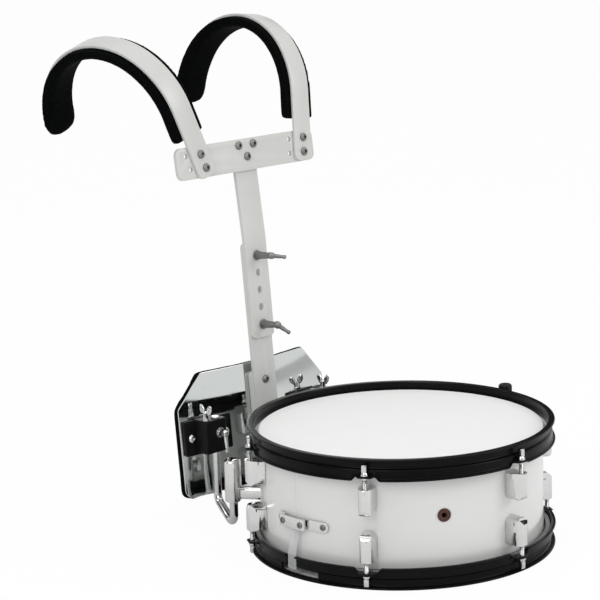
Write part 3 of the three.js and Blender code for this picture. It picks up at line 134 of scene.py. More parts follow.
def chain(corners, closed=True, steps=5):
    """Corners (x, z) or (x, z, round) in the XZ plane, joined by edges, each round one drawn as an arc."""
    bm = bmesh.new()
    verts = [bm.verts.new((corner[0], 0, corner[1])) for corner in corners]
    for i in range(len(verts) - (0 if closed else 1)):
        bm.edges.new((verts[i], verts[(i + 1) % len(verts)]))
    for i, corner in enumerate(corners):
        if len(corner) == 3:
            here = Vector(corner[:2])
            before = Vector(corners[i - 1][:2]) - here
            after = Vector(corners[(i + 1) % len(corners)][:2]) - here
            reach = corner[2] / math.tan(before.angle(after) / 2)
            bmesh.ops.bevel(
                bm, geom=[verts[i]], offset=reach, offset_type="OFFSET", segments=steps,
                profile=0.5, affect="VERTICES", clamp_overlap=False, material=-1)
    bmesh.ops.remove_doubles(bm, verts=bm.verts, dist=0.002)
    return bm


def new_verts(result):
    return [item for item in result["geom"] if isinstance(item, bmesh.types.BMVert)]


def panel(corners, y0, y1, steps=5):
    """A plate with that outline in the XZ plane, from y0 to y1."""
    bm = chain(corners, True, steps)
    bmesh.ops.edgeloop_fill(bm, edges=bm.edges[:])
    raised = bmesh.ops.extrude_face_region(bm, geom=bm.faces[:])
    bmesh.ops.translate(bm, verts=bm.verts, vec=(0, y0, 0))
    bmesh.ops.translate(bm, verts=new_verts(raised), vec=(0, y1 - y0, 0))
    bmesh.ops.recalc_face_normals(bm, faces=bm.faces)
    return bm


def slab(corners, z0, z1, steps=5):
    """A block with that outline in the XY plane, from z0 to z1."""
    bm = panel(corners, -z1, -z0, steps)
    bm.transform(turn(-90, "X"))
    return bm


def oblong(x0, x1, z0, z1, corner=0.0):
    """Corners of a rectangle with one round for all, or four from the lower left round."""
    rounds = corner if isinstance(corner, (list, tuple)) else [corner] * 4
    places = [(x0, z0), (x1, z0), (x1, z1), (x0, z1)]
    return [(*place, size) if size else place for place, size in zip(places, rounds)]


def spun(corners, sides=48, ring=False, steps=4, angle=360.0):
    """A chain in X and Z turned about Z."""
    bm = chain(corners, ring, steps)
    bmesh.ops.spin(
        bm, geom=bm.verts[:] + bm.edges[:], cent=(0, 0, 0), axis=(0, 0, 1), dvec=(0, 0, 0),
        angle=math.radians(angle), steps=sides, use_merge=angle == 360, use_duplicate=False)
    bmesh.ops.remove_doubles(bm, verts=bm.verts, dist=0.0005)
    bmesh.ops.recalc_face_normals(bm, faces=bm.faces)
    return bm


def softened(bm, width, segments=3, sharper=30, chosen=None):
    """Rounds the sharp edges of a shape."""
    bm.normal_update()
    edges = [
        edge for edge in bm.edges
        if len(edge.link_faces) == 2 and edge.calc_face_angle(0) > math.radians(sharper)
        and (chosen is None or chosen(edge))]
    bmesh.ops.bevel(
        bm, geom=edges, offset=width, offset_type="OFFSET", segments=segments,
        profile=0.5, affect="EDGES", clamp_overlap=True, material=-1)
    return bm


def moved(bm, place):
    bm.transform(place)
    bm.normal_update()
    return bm


def together(*shapes):
    """Puts several shapes in one, each left as it is."""
    whole = bmesh.new()
    for shape in shapes:
        mesh = bpy.data.meshes.new("part")
        shape.to_mesh(mesh)
        whole.from_mesh(mesh)
        bpy.data.meshes.remove(mesh)
        shape.free()
    return whole


def combined(bm, tools, operation="DIFFERENCE"):
    """Cuts tools off a shape, or keeps what they share with it."""
    made = []
    for shape in [bm, *tools]:
        mesh = bpy.data.meshes.new("part")
        shape.to_mesh(mesh)
        shape.free()
        made.append(bpy.data.objects.new("part", mesh))
        bpy.context.scene.collection.objects.link(made[-1])
    for tool in made[1:]:
        step = made[0].modifiers.new("combine", "BOOLEAN")
        step.object = tool
        step.operation = operation
        step.solver = "EXACT"
    settled = made[0].evaluated_get(bpy.context.evaluated_depsgraph_get())
    whole = bmesh.new()
    whole.from_mesh(settled.to_mesh())
    for part in made:
        mesh = part.data
        bpy.data.objects.remove(part)
        bpy.data.meshes.remove(mesh)
    bmesh.ops.remove_doubles(whole, verts=whole.verts, dist=0.001)
    bmesh.ops.dissolve_limit(
        whole, angle_limit=math.radians(0.5), verts=whole.verts, edges=whole.edges, delimit={"NORMAL"})
    return whole


def sliced(bm, axis, places):
    """Cuts edges into a shape at places along an axis, so that it can be bent."""
    for place in places:
        normal = [1.0 if i == axis else 0.0 for i in range(3)]
        bmesh.ops.bisect_plane(
            bm, geom=bm.verts[:] + bm.edges[:] + bm.faces[:], dist=0.0001,
            plane_co=[value * place for value in normal], plane_no=normal)
    return bm


def steps_from(low, high, step):
    count = max(1, round((high - low) / step))
    return [low + (high - low) * i / count for i in range(1, count)]


def wrapped(bm, radius, step=4.0):
    """Bends a flat piece round the drum: X becomes the way round, Y the height above that radius."""
    xs = [vert.co.x for vert in bm.verts]
    sliced(bm, 0, steps_from(min(xs), max(xs), step))
    for vert in bm.verts:
        angle = vert.co.x / radius
        reach = radius + vert.co.y
        vert.co = (reach * math.cos(angle), reach * math.sin(angle), vert.co.z)
    bmesh.ops.recalc_face_normals(bm, faces=bm.faces)
    return bm


def bent_back(bm, axis, start, base, radius, degrees):
    """Bends what lies past start on an axis back towards +Y, on an arc of that radius."""
    whole = math.radians(degrees)
    length = radius * whole
    for vert in bm.verts:
        past = vert.co[axis] - start
        if past <= 0:
            continue
        angle = min(past / radius, whole)
        reach = radius - (vert.co.y - base)
        rest = max(past - length, 0)
        vert.co[axis] = start + reach * math.sin(angle) + rest * math.cos(angle)
        vert.co.y = base + radius - reach * math.cos(angle) + rest * math.sin(angle)
    return bm


def steps_round(start, radius, degrees, count):
    """Places along a bend where a shape needs edges."""
    return [start + radius * math.radians(degrees) * i / count for i in range(count + 1)]


def bent_rod(points, bends, radius, sides=28, tip=1.2):
    """A round rod through the points, with a bend of given radius at each inner one."""
    points = [Vector(point) for point in points]
    bm = bmesh.new()
    along = (points[1] - points[0]).normalized()
    place = Matrix.Translation(points[0]) @ along.to_track_quat("Z", "Y").to_matrix().to_4x4()
    ring = bmesh.ops.create_circle(bm, cap_ends=True, radius=radius - tip, segments=sides, matrix=place)
    end = bm.faces[:]

    def grow(offset, wider=0.0):
        nonlocal end
        raised = bmesh.ops.extrude_face_region(bm, geom=end)["geom"]
        verts = [item for item in raised if isinstance(item, bmesh.types.BMVert)]
        end = [item for item in raised if isinstance(item, bmesh.types.BMFace)]
        bmesh.ops.translate(bm, verts=verts, vec=offset)
        if wider:
            middle = sum((vert.co for vert in verts), Vector()) / len(verts)
            for vert in verts:
                vert.co += (vert.co - middle).normalized() * wider

    def here():
        verts = end[0].verts
        return sum((vert.co for vert in verts), Vector()) / len(verts)

    for i in range(3):
        grow(along * tip * (math.sin(math.pi / 6 * (i + 1)) - math.sin(math.pi / 6 * i)),
             tip * (math.cos(math.pi / 6 * i) - math.cos(math.pi / 6 * (i + 1))))
    for i, point in enumerate(points[1:], 1):
        along = (point - points[i - 1]).normalized()
        if i < len(points) - 1:
            after = (points[i + 1] - point).normalized()
            angle = along.angle(after)
            reach = bends[i - 1] * math.tan(angle / 2)
            grow(point - along * reach - here())
            side = (after - along * math.cos(angle)).normalized()
            bent = bmesh.ops.spin(
                bm, geom=end, cent=here() + side * bends[i - 1], axis=along.cross(side), dvec=(0, 0, 0),
                angle=angle, steps=14, use_merge=False, use_duplicate=False)["geom_last"]
            end = [item for item in bent if isinstance(item, bmesh.types.BMFace)]
        else:
            grow(point - along * tip - here())
    for i in range(3):
        grow(along * tip * (math.cos(math.pi / 6 * (2 - i)) - math.cos(math.pi / 6 * (3 - i))),
             -tip * (math.sin(math.pi / 6 * (3 - i)) - math.sin(math.pi / 6 * (2 - i))))
    bmesh.ops.recalc_face_normals(bm, faces=bm.faces)
    return bm


def copies(bm, places):
    """The shape once at each place."""
    mesh = bpy.data.meshes.new("part")
    bm.to_mesh(mesh)
    bm.free()
    whole = bmesh.new()
    for place in places:
        before = len(whole.verts)
        whole.from_mesh(mesh)
        whole.verts.ensure_lookup_table()
        bmesh.ops.transform(whole, matrix=place, verts=whole.verts[before:])
    bpy.data.meshes.remove(mesh)
    return whole


def thread(radius, low, high, pitch=1.0, deep=0.35):
    """Corners down a threaded stretch of a rod."""
    corners = []
    z = high
    while z > low + pitch:
        corners += [(radius, z), (radius - deep, z - pitch / 2)]
        z -= pitch
    return corners


def piece(name, bm, body, finish, nodes=(), place=Matrix(), smooth=38):
    """Makes a finished piece of a shape, in place of the CAD nodes. With no body, it is left unattached."""
    bm.transform(TO_ROW @ place)
    bm.normal_update()
    mesh = bpy.data.meshes.new(name)
    bm.to_mesh(mesh)
    bm.free()
    mesh.materials.append(finish)
    mesh.shade_smooth()
    mesh.set_sharp_from_angle(angle=math.radians(smooth))
    made = bpy.data.objects.new(name, mesh)
    bpy.context.scene.collection.objects.link(made)
    if body:
        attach(made, body)
    if nodes:
        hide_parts(*nodes)
    return made


# ---------------------------------------------------------------- finishes


class Value:
    """A number that varies over a surface. Sums and products of it add Math nodes."""

    def __init__(self, finish, socket):
        self.finish = finish
        self.socket = socket

    def _math(self, operation, *values):
        return self.finish.node("Math", {"operation": operation}, dict(enumerate(values)))

    def __add__(self, other):
        return self._math("ADD", self, other)

    __radd__ = __add__

    def __sub__(self, other):
        return self._math("SUBTRACT", self, other)

    def __rsub__(self, other):
        return self._math("SUBTRACT", other, self)

    def __mul__(self, other):
        return self._math("MULTIPLY", self, other)

    __rmul__ = __mul__

    def __truediv__(self, other):
        return self._math("DIVIDE", self, other)

    def __pow__(self, other):
        return self._math("POWER", self, other)

    def __abs__(self):
        return self._math("ABSOLUTE", self)

    def between(self, low, high):
        """0 below low, 1 above high, and smooth in between."""
        settings = {"interpolation_type": "SMOOTHSTEP"}
        return self.finish.node("MapRange", settings, {0: self, 1: low, 2: high, 3: 0.0, 4: 1.0})


class Finish:
    """A material of one Principled shader, with what its patterns need."""

    def __init__(self, name, slot=None, **constants):
        self.material = bpy.data.materials.new(name)
        self.material.use_nodes = True
        self.tree = self.material.node_tree
        self.shader = self.tree.nodes["Principled BSDF"]
        self.last_bump = None
        self.place = self.node("TexCoord", out="Object")
        for words, value in constants.items():
            self.shader.inputs[words.replace("_", " ")].default_value = value

    def node(self, kind, settings=None, sockets=None, out=0):
        made = self.tree.nodes.new("ShaderNode" + kind)
        for key, value in (settings or {}).items():
            if key == "stops":
                for i, (place, colour) in enumerate(value):
                    stops = made.color_ramp.elements
                    stop = stops[i] if i < len(stops) else stops.new(place)
                    stop.position = place
                    stop.color = (*colour, 1)
            else:
                setattr(made, key, value)
        for key, value in (sockets or {}).items():
            self.feed(made.inputs[key], value)
        return Value(self, made.outputs[out])

    def feed(self, socket, value):
        if isinstance(value, Value):
            self.tree.links.new(value.socket, socket)
        elif isinstance(value, tuple) and len(value) == 3 and socket.type == "RGBA":
            socket.default_value = (*value, 1)
        else:
            socket.default_value = value

    def noise(self, scale, detail=3.0, rough=0.5, stretch=None, twist=0.0):
        """Cloudy values round 0.5, with features of about 1 / scale metres."""
        place = self.place
        if stretch:
            place = self.node("Mapping", None, {"Vector": place, "Scale": stretch})
        return self.node("TexNoise", None, {
            "Vector": place, "Scale": scale, "Detail": detail, "Roughness": rough, "Distortion": twist})

    def cells(self, scale, feature="F1"):
        return self.node("TexVoronoi", {"feature": feature}, {"Vector": self.place, "Scale": scale}, "Distance")

    def mix(self, share, first, second):
        return self.node("Mix", {"data_type": "RGBA"}, {0: share, 6: first, 7: second}, 2)

    def axis(self, name):
        return self.node("SeparateXYZ", None, {0: self.place}, name)

    def from_drum_axis(self):
        """Distance from the drum's axis, and the angle round it in radians."""
        x = self.axis("X") - TO_ROW.translation.x
        y = self.axis("Y") - TO_ROW.translation.y
        reach = self.node("Math", {"operation": "POWER"}, {0: x * x + y * y, 1: 0.5})
        return reach, self.node("Math", {"operation": "ARCTAN2"}, {0: y, 1: x})

    def set(self, name, value):
        self.feed(self.shader.inputs[name], value)

    def bump(self, height, metres, strength=1.0):
        """Raises the surface by that height times metres, on top of the bumps set before."""
        sockets = {"Height": height, "Distance": metres, "Strength": strength}
        if self.last_bump:
            sockets["Normal"] = self.last_bump
        self.last_bump = self.node("Bump", None, sockets, "Normal")
        self.set("Normal", self.last_bump)


def white_wrap():
    """Glossy white plastic over the wooden shell, with its glued seam."""
    look = Finish("white_wrap", Coat_Weight=0.35, Coat_Roughness=0.06)
    _, angle = look.from_drum_axis()
    away = abs(angle - math.radians(-93 - 90 + 360)) * SHELL
    line = 1 - away.between(0.15, 0.6)
    flap = (angle - math.radians(-93 - 90 + 360)).between(-0.0005, 0.0005)
    cloud = look.noise(9, 4, 0.55)
    marks = look.noise(60, 5, 0.7, twist=0.6).between(0.58, 0.75)
    white = look.mix(cloud, (0.700, 0.703, 0.693), (0.740, 0.740, 0.733))
    worn = look.mix(marks * 0.18, white, (0.66, 0.65, 0.62))
    look.set("Base Color", look.mix(line * 0.35, worn, (0.42, 0.41, 0.39)))
    look.set("Roughness", 0.17 + 0.12 * marks + 0.05 * cloud)
    look.bump(flap, 0.00012, 0.5)
    look.bump(look.noise(260, 2, 0.4), 0.00005, 0.35)
    return look.material


def head_film():
    """Matt coated film, whiter where the collar starts."""
    look = Finish("head_film")
    reach, _ = look.from_drum_axis()
    ring = reach.between(0.1700, 0.1735)
    grain = look.noise(1700, 3, 0.6)
    cloud = look.noise(7, 4, 0.6)
    strokes = look.noise(38, 5, 0.65, twist=0.8).between(0.62, 0.8) * (1 - reach.between(0.02, 0.11))
    white = look.mix(cloud, (0.905, 0.905, 0.90), (0.94, 0.94, 0.935))
    played = look.mix(strokes * 0.16, white, (0.62, 0.62, 0.61))
    look.set("Base Color", look.mix(ring, played, (0.97, 0.97, 0.965)))
    look.set("Roughness", 0.58 - 0.12 * strokes - 0.1 * ring)
    look.bump(grain, 0.00006, 0.6)
    look.bump(look.noise(220, 3, 0.6), 0.00008, 0.25)
    return look.material


def black_enamel():
    """Glossy baked enamel on the hoops, with dust and small rubs."""
    look = Finish("black_enamel", Specular_IOR_Level=0.09)
    rubs = look.noise(140, 5, 0.7, (1, 1, 3), 0.5).between(0.64, 0.78)
    dust = look.noise(900, 2, 0.7).between(0.6, 0.8) * look.noise(11, 3, 0.5)
    black = look.mix(look.noise(30, 3), (0.0028, 0.0030, 0.0034), (0.0055, 0.0056, 0.0060))
    rubbed = look.mix(rubs * 0.25, black, (0.03, 0.03, 0.03))
    look.set("Base Color", look.mix(dust * 0.14, rubbed, (0.06, 0.06, 0.058)))
    look.set("Roughness", 0.24 + 0.16 * rubs + 0.10 * dust)
    look.bump(look.noise(420, 2, 0.4), 0.00005, 0.35)
    return look.material


def cast_chrome():
    """Chrome on castings: bright, softly wavy, with small pits."""
    look = Finish("cast_chrome", Metallic=1.0)
    haze = look.noise(55, 4, 0.6)
    pits = look.cells(900).between(0.0, 0.12)
    look.set("Base Color", look.mix(haze, (0.60, 0.605, 0.60), (0.74, 0.74, 0.73)))
    look.set("Roughness", 0.07 + 0.09 * haze * haze + 0.10 * (1 - pits))
    look.bump(look.noise(75, 2, 0.4), 0.0010, 0.5)
    look.bump(pits, 0.00002, 0.5)
    return look.material


def chrome_steel():
    """Chrome on turned and bent steel, with faint drawing lines and smudges."""
    look = Finish("chrome_steel", Metallic=1.0)
    haze = look.noise(90, 4, 0.6)
    lines = look.noise(260, 3, 0.6, (1, 1, 0.06))
    look.set("Base Color", look.mix(haze, (0.55, 0.555, 0.555), (0.67, 0.67, 0.665)))
    look.set("Roughness", 0.08 + 0.10 * haze * lines)
    look.bump(lines, 0.00004, 0.4)
    look.bump(look.noise(60, 2), 0.0003, 0.2)
    return look.material


def grommet():
    """Brown-red satin eyelet."""
    look = Finish("grommet", Metallic=0.35)
    cloud = look.noise(420, 4, 0.65)
    look.set("Base Color", look.mix(cloud, (0.045, 0.016, 0.012), (0.10, 0.038, 0.027)))
    look.set("Roughness", 0.34 + 0.16 * cloud)
    look.bump(cloud, 0.00006, 0.4)
    return look.material


def steel_wire():
    """Bright drawn wire and the plates at its ends."""
    look = Finish("steel_wire", Metallic=1.0)
    streaks = look.noise(500, 3, 0.6, (0.1, 1, 1))
    look.set("Base Color", look.mix(streaks, (0.50, 0.51, 0.52), (0.70, 0.70, 0.70)))
    look.set("Roughness", 0.22 + 0.18 * streaks)
    look.bump(streaks, 0.00005, 0.4)
    return look.material


def clear_strap():
    """Milky film of the snare straps."""
    look = Finish("clear_strap", Alpha=0.32, IOR=1.4)
    haze = look.noise(160, 4, 0.6)
    scratches = look.noise(500, 3, 0.7, (1, 1, 0.08)).between(0.6, 0.75)
    look.set("Base Color", look.mix(haze, (0.66, 0.68, 0.69), (0.78, 0.79, 0.80)))
    look.set("Roughness", 0.26 + 0.2 * scratches + 0.08 * haze)
    look.bump(scratches, 0.00004, 0.5)
    return look.material


def black_plastic():
    """Moulded knob: satin black with a fine moulded grain."""
    look = Finish("black_plastic", Specular_IOR_Level=0.2)
    grain = look.noise(1500, 3, 0.6)
    look.set("Base Color", look.mix(look.noise(120, 3), (0.004, 0.004, 0.004), (0.010, 0.010, 0.010)))
    look.set("Roughness", 0.36 + 0.16 * grain)
    look.bump(grain, 0.00006, 0.6)
    return look.material


def white_paint():
    """Light grey-white satin powder coat on the bars, chipped and scuffed here and there."""
    look = Finish("white_paint", Coat_Weight=0.12, Coat_Roughness=0.2)
    texture = look.noise(650, 2, 0.5)
    cloud = look.noise(14, 4, 0.6)
    scuffs = look.noise(75, 6, 0.75, (1.6, 1.6, 0.5), 0.7).between(0.63, 0.76)
    specks = look.noise(1100, 2, 0.5).between(0.74, 0.80)
    white = look.mix(cloud, (0.570, 0.580, 0.555), (0.630, 0.637, 0.615))
    scuffed = look.mix(scuffs * 0.30, white, (0.40, 0.40, 0.385))
    look.set("Base Color", look.mix(specks * 0.5, scuffed, (0.30, 0.30, 0.29)))
    look.set("Roughness", 0.33 + 0.10 * texture + 0.12 * scuffs)
    look.bump(texture, 0.00007, 0.45)
    look.bump(look.noise(180, 2), 0.00008, 0.25)
    return look.material


def dull_zinc():
    """Dull zinc plating on bolts, nuts and lever screws. On the flesh hoops it is painted shade: a darker metal than
    theirs, standing in for the shade they sit in.
    """
    look = Finish("dull_zinc", Metallic=1.0)
    spangle = look.cells(420)
    cloud = look.noise(240, 4, 0.65)
    look.set("Base Color", look.mix(cloud, (0.13, 0.13, 0.125), (0.34, 0.34, 0.33)))
    look.set("Roughness", 0.30 + 0.22 * cloud + 0.12 * spangle)
    look.bump(cloud, 0.00012, 0.5)
    return look.material


def mirror_plate():
    """Mirror-polished sheet with wiping streaks and finger marks."""
    look = Finish("mirror_plate", Metallic=1.0)
    streaks = look.noise(120, 4, 0.65, (1, 1, 0.12))
    fingers = look.noise(48, 5, 0.7, twist=0.5).between(0.58, 0.72)
    look.set("Base Color", look.mix(fingers * 0.35, (0.60, 0.625, 0.61), (0.50, 0.51, 0.50)))
    look.set("Roughness", 0.035 + 0.05 * streaks + 0.07 * fingers)
    look.bump(look.noise(9, 2, 0.4), 0.0012, 0.25)
    look.bump(streaks, 0.00003, 0.3)
    return look.material


def black_foam():
    """Foam in matt black cloth: a fine knit with a faint sheen."""
    look = Finish("black_foam", Specular_IOR_Level=0.015, Sheen_Weight=0.006, Sheen_Roughness=0.4)
    look.shader.inputs["Sheen Tint"].default_value = (0.75, 0.9, 0.85, 1)
    knit = look.cells(760)
    fluff = look.noise(1500, 3, 0.7)
    cloud = look.noise(26, 4, 0.6)
    black = look.mix(cloud, (0.0008, 0.0010, 0.0010), (0.0018, 0.0020, 0.0020))
    look.set("Base Color", look.mix(knit.between(0.35, 0.75), black, (0.0036, 0.0040, 0.0039)))
    look.set("Roughness", 0.62 + 0.22 * fluff)
    look.bump(1 - knit, 0.00028, 0.55)
    look.bump(fluff, 0.00012, 0.5)
    look.bump(look.noise(60, 3), 0.0006, 0.3)
    return look.material


def black_bracket():
    """Satin black coat on the cast brackets, rubbed grey in small spots."""
    look = Finish("black_bracket", Specular_IOR_Level=0.12)
    texture = look.noise(700, 3, 0.6)
    rubs = look.noise(110, 6, 0.75, twist=0.6).between(0.62, 0.74)
    black = look.mix(look.noise(40, 3), (0.003, 0.003, 0.003), (0.007, 0.007, 0.007))
    look.set("Base Color", look.mix(rubs * 0.3, black, (0.05, 0.05, 0.049)))
    look.set("Roughness", 0.34 + 0.14 * texture + 0.1 * rubs)
    look.bump(texture, 0.00008, 0.5)
    return look.material


WHITE_WRAP = white_wrap()
HEAD_FILM = head_film()
BLACK_ENAMEL = black_enamel()
CAST_CHROME = cast_chrome()
CHROME_STEEL = chrome_steel()
GROMMET = grommet()
STEEL_WIRE = steel_wire()
CLEAR_STRAP = clear_strap()
BLACK_PLASTIC = black_plastic()
WHITE_PAINT = white_paint()
DULL_ZINC_AND_PAINTED_SHADE = dull_zinc()
MIRROR_PLATE = mirror_plate()
BLACK_FOAM = black_foam()
BLACK_BRACKET = black_bracket()

# ---------------------------------------------------------------- small fasteners


def bolt_head(radius=5.5, high=3.6):
    """A domed bolt head with a hexagon socket along +Z, sunk a little into what it holds."""
    dome = spun([(0, -0.8), (radius, -0.8), (radius, high * 0.45, 0.9), (radius * 0.62, high, 1.1), (0, high)], 32)
    key = [(2.5 * math.cos(math.radians(a)), 2.5 * math.sin(math.radians(a))) for a in range(0, 360, 60)]
    return combined(dome, [slab(key, high - 2.4, high + 2)])


def screw_head(radius=4.0, high=2.0):
    """A pan head along +Z with a cross recess."""
    head = spun([(0, -0.8), (radius, -0.8), (radius, high * 0.55, 0.9), (radius * 0.45, high, 1.5), (0, high)], 32)
    arms = [slab(oblong(-wide, wide, -tall, tall), high - 1.1, high + 2) for wide, tall in ((1.9, 0.45), (0.45, 1.9))]
    return combined(head, arms)


def hex_nut(radius=6.0, high=4.0):
    """A chamfered nut along +Z on the end of its threaded shank."""
    corners = [(radius * math.cos(math.radians(a)), radius * math.sin(math.radians(a))) for a in range(0, 360, 60)]
    cone = spun([(0, -0.1), (radius, -0.1), (radius, high - 1.2), (radius - 1.6, high), (0, high)], 32)
    nut = combined(slab(corners, 0, high), [cone], "INTERSECT")
    shank = spun([(0, high - 0.2), *reversed(thread(2.9, high - 2.0, high - 0.1, 0.8)), (2.2, high + 0.0), (0, high + 0.0)], 24)
    return together(nut, shank)


FACING_FRONT = turn(90, "X")

# ---------------------------------------------------------------- drum


def shell():
    inner = SHELL - WALL
    wall = spun([
        (inner, LOW_EDGE + 4.5, 1), (SHELL - 0.8, LOW_EDGE), (SHELL, LOW_EDGE + 0.8, 0.4),
        (SHELL, HIGH_EDGE - 0.8, 0.4), (SHELL - 0.8, HIGH_EDGE), (inner, HIGH_EDGE - 4.5, 1)], 240, ring=True)
    vent = moved(spun([(0, inner - 2), (5, inner - 2), (5, SHELL + 2), (0, SHELL + 2)], 32), turn(90, "Y"))
    return combined(wall, [moved(vent, station(VENT_ANGLE) @ shift(0, 0, VENT_HIGH))])


def head():
    """The film of a head for the drum's top, down to its flesh hoop."""
    top = HIGH_EDGE + 0.8
    return spun([
        (0, top), (177.65, top, 0.8), (179.0, top - 1.8, 0.9), (181.3, 145.3, 0.6), (184.2, 145.3),
        (184.2, 144.8), (180.8, 144.8), (178.5, top - 2.05, 0.6), (177.4, top - 0.5, 0.4), (0, top - 0.5)], 240)


def flesh_hoop():
    return spun([
        (180.1, 137.3, 1), (186.5, 137.3, 1), (186.5, 144.7, 1.2), (181.0, 144.7, 0.5), (180.1, 144.0, 0.5)],
        180, ring=True)


def eased(value):
    value = min(max(value, 0.0), 1.0)
    return value * value * (3 - 2 * value)


def hoop():
    """A hoop of pressed sheet for the drum's top: rim, step and skirt, with an arch and an ear at each rod."""
    profile = [
        (HOOP_INNER, 1.6, 1.4), (HOOP_INNER + 0.8, 0, 0.6), (RIM, 0, 1.1), (RIM, SHEET, 1.1),
        (HOOP_INNER + SHEET, SHEET + 0.4, 1.4), (HOOP_INNER + SHEET, 12, 1.6), (SKIRT, 13, 2.2),
        (SKIRT, HOOP_TALL - SHEET, 1.4), (LIP, HOOP_TALL - SHEET, 1.0), (LIP, HOOP_TALL, 1.0),
        (SKIRT - SHEET, HOOP_TALL, 2.0), (SKIRT - SHEET, 14.4, 0.8), (HOOP_INNER, 14.4, 1.2)]
    sector = chain([(r, TALL - depth, size) for r, depth, size in profile], True, 3)
    sector.transform(turn(-30, "Z"))
    bmesh.ops.spin(
        sector, geom=sector.verts[:] + sector.edges[:], cent=(0, 0, 0), axis=(0, 0, 1), dvec=(0, 0, 0),
        angle=math.radians(60), steps=120, use_merge=False, use_duplicate=False)
    rise = HOOP_TALL - SHEET - EAR_DEPTH
    for vert in sector.verts:
        reach = math.hypot(vert.co.x, vert.co.y)
        angle = math.atan2(vert.co.y, vert.co.x)
        aside = abs(angle) * SKIRT
        depth = TALL - vert.co.z
        arch = eased((17.5 - aside) / 6.5)
        share = min(max((depth - 13.5) / (HOOP_TALL - SHEET - 13.5), 0), 1)
        vert.co.z += rise * arch * share
        if reach > SKIRT + 0.02 and depth > 18:
            ear = min(max((10.3 - aside) / 3.6, 0), 1) ** 0.6
            wider = SKIRT + (reach - SKIRT) / (LIP - SKIRT) * (LIP - SKIRT + (EAR_REACH - LIP) * ear)
            vert.co.x *= wider / reach
            vert.co.y *= wider / reach
    whole = copies(sector, [turn(60 * i, "Z") for i in range(6)])
    bmesh.ops.remove_doubles(whole, verts=whole.verts, dist=0.003)
    bmesh.ops.recalc_face_normals(whole, faces=whole.faces)
    return moved(whole, station(0))


def snare_hoop():
    """The same hoop turned over, with a gate in its wall at each side for the straps."""
    gates = []
    for side, middle in ((-1, 8.0), (1, 0.0)):
        for near, far, left, right, low, high in (
                (181, 188, -31, 31, 3.2, 11.4), (181, 196, middle - 8.5, middle + 8.5, 3.2, 11.4),
                (187, 196, middle - 8.5, middle + 8.5, 3.2, 29)):
            x0, x1 = sorted((side * near, side * far))
            gates.append(slab(oblong(x0, x1, left, right), low, high))
    return combined(moved(hoop(), TURNED_OVER), gates)


def lug():
    """A single-ended lug: flat at the rod's end, round at the other, with a rounded nose."""
    plan = slab([
        (178.0, -10), (190.5, -10, 28), (LUG_REACH, -5.6, 7.5), (LUG_REACH, 5.6, 7.5), (190.5, 10, 28), (178.0, 10)],
        LUG_LOW, LUG_HIGH, 10)
    front = panel([(-10, LUG_HIGH, 2.0), (-10, LUG_LOW, 9.98), (10, LUG_LOW, 9.98), (10, LUG_HIGH, 2.0)], 170, 210, 10)
    front.transform(turn(-90, "Z"))
    side = panel([(170, LUG_LOW), (LUG_REACH + 0.1, LUG_LOW, 12), (LUG_REACH + 0.1, LUG_HIGH, 1.5), (170, LUG_HIGH)], -12, 12, 10)
    body = combined(combined(plan, [front], "INTERSECT"), [side], "INTERSECT")
    body = softened(body, 1.6, 4, 32, lambda edge: all(v.co.x > 178.5 for v in edge.verts))
    bore = moved(spun([(0, LUG_HIGH - 27), (3.3, LUG_HIGH - 27), (3.3, LUG_HIGH - 0.6), (4.2, LUG_HIGH + 0.2),
                       (4.2, LUG_HIGH + 2), (0, LUG_HIGH + 2)], 24), shift(ROD_CIRCLE, 0, 0))
    return combined(body, [bore])


def tension_rod():
    """A threaded rod with its washer, flared collar and square key head."""
    under = TALL - EAR_DEPTH + SEAT
    shank = spun([
        (0, 99), (2.2, 99), (2.95, 99.8), *reversed(thread(2.95, 118, 136.5, 1.0)), (2.95, 137.2), (2.95, under + 1)], 20)
    washer = spun([(2.9, under), (5.0, under, 0.5), (5.0, under + 1.6, 0.5), (2.9, under + 1.6)], 28, ring=True)
    flare = spun([
        (0, under + 1.6), (4.6, under + 1.6, 0.5), (4.4, under + 2.6, 0.6), (3.3, under + 4.4, 0.8), (3.0, under + 4.8),
        (0, under + 4.8)], 28)
    key = slab(oblong(-3.1, 3.1, -3.1, 3.1, 0.5), under + 4.4, under + 13.2, 2)
    for vert in key.verts:
        if vert.co.z > under + 10:
            vert.co.x *= 0.94
            vert.co.y *= 0.94
    return moved(together(shank, washer, flare, softened(key, 0.7, 2)), shift(ROD_CIRCLE, 0, 0))


piece("shell_wrap", shell(), "drum", WHITE_WRAP, ["shell"], smooth=25)
piece("upper_head_film", head(), "drum", HEAD_FILM, ["batter_head"])
# Both flesh hoops, upper and lower, take the darker zinc finish as painted shade: their metal is drawn darker to stand
# in for the shade inside the hoops.
piece("upper_flesh_hoop", flesh_hoop(), "drum", DULL_ZINC_AND_PAINTED_SHADE)
piece("lower_head_film", head(), "drum", HEAD_FILM, ["snare_head"], TURNED_OVER)
piece("lower_flesh_hoop", flesh_hoop(), "drum", DULL_ZINC_AND_PAINTED_SHADE, (), TURNED_OVER)
piece("upper_hoop", hoop(), "drum", BLACK_ENAMEL, ["batter_hoop"])
piece("lower_hoop", snare_hoop(), "drum", BLACK_ENAMEL, ["snare_hoop"])
for number, angle in enumerate(LUG_ANGLES, 1):
    for side, node, over in (("upper", "batter", Matrix()), ("lower", "snare", TURNED_OVER)):
        spot = station(angle) @ over
        piece(f"{side}_lug_{number}", lug(), "drum", CAST_CHROME, [f"{node}_lug_{number}"], spot)
        piece(f"{side}_rod_{number}", tension_rod(), "drum", CHROME_STEEL, [f"{node}_tension_rod_{number}"], spot)

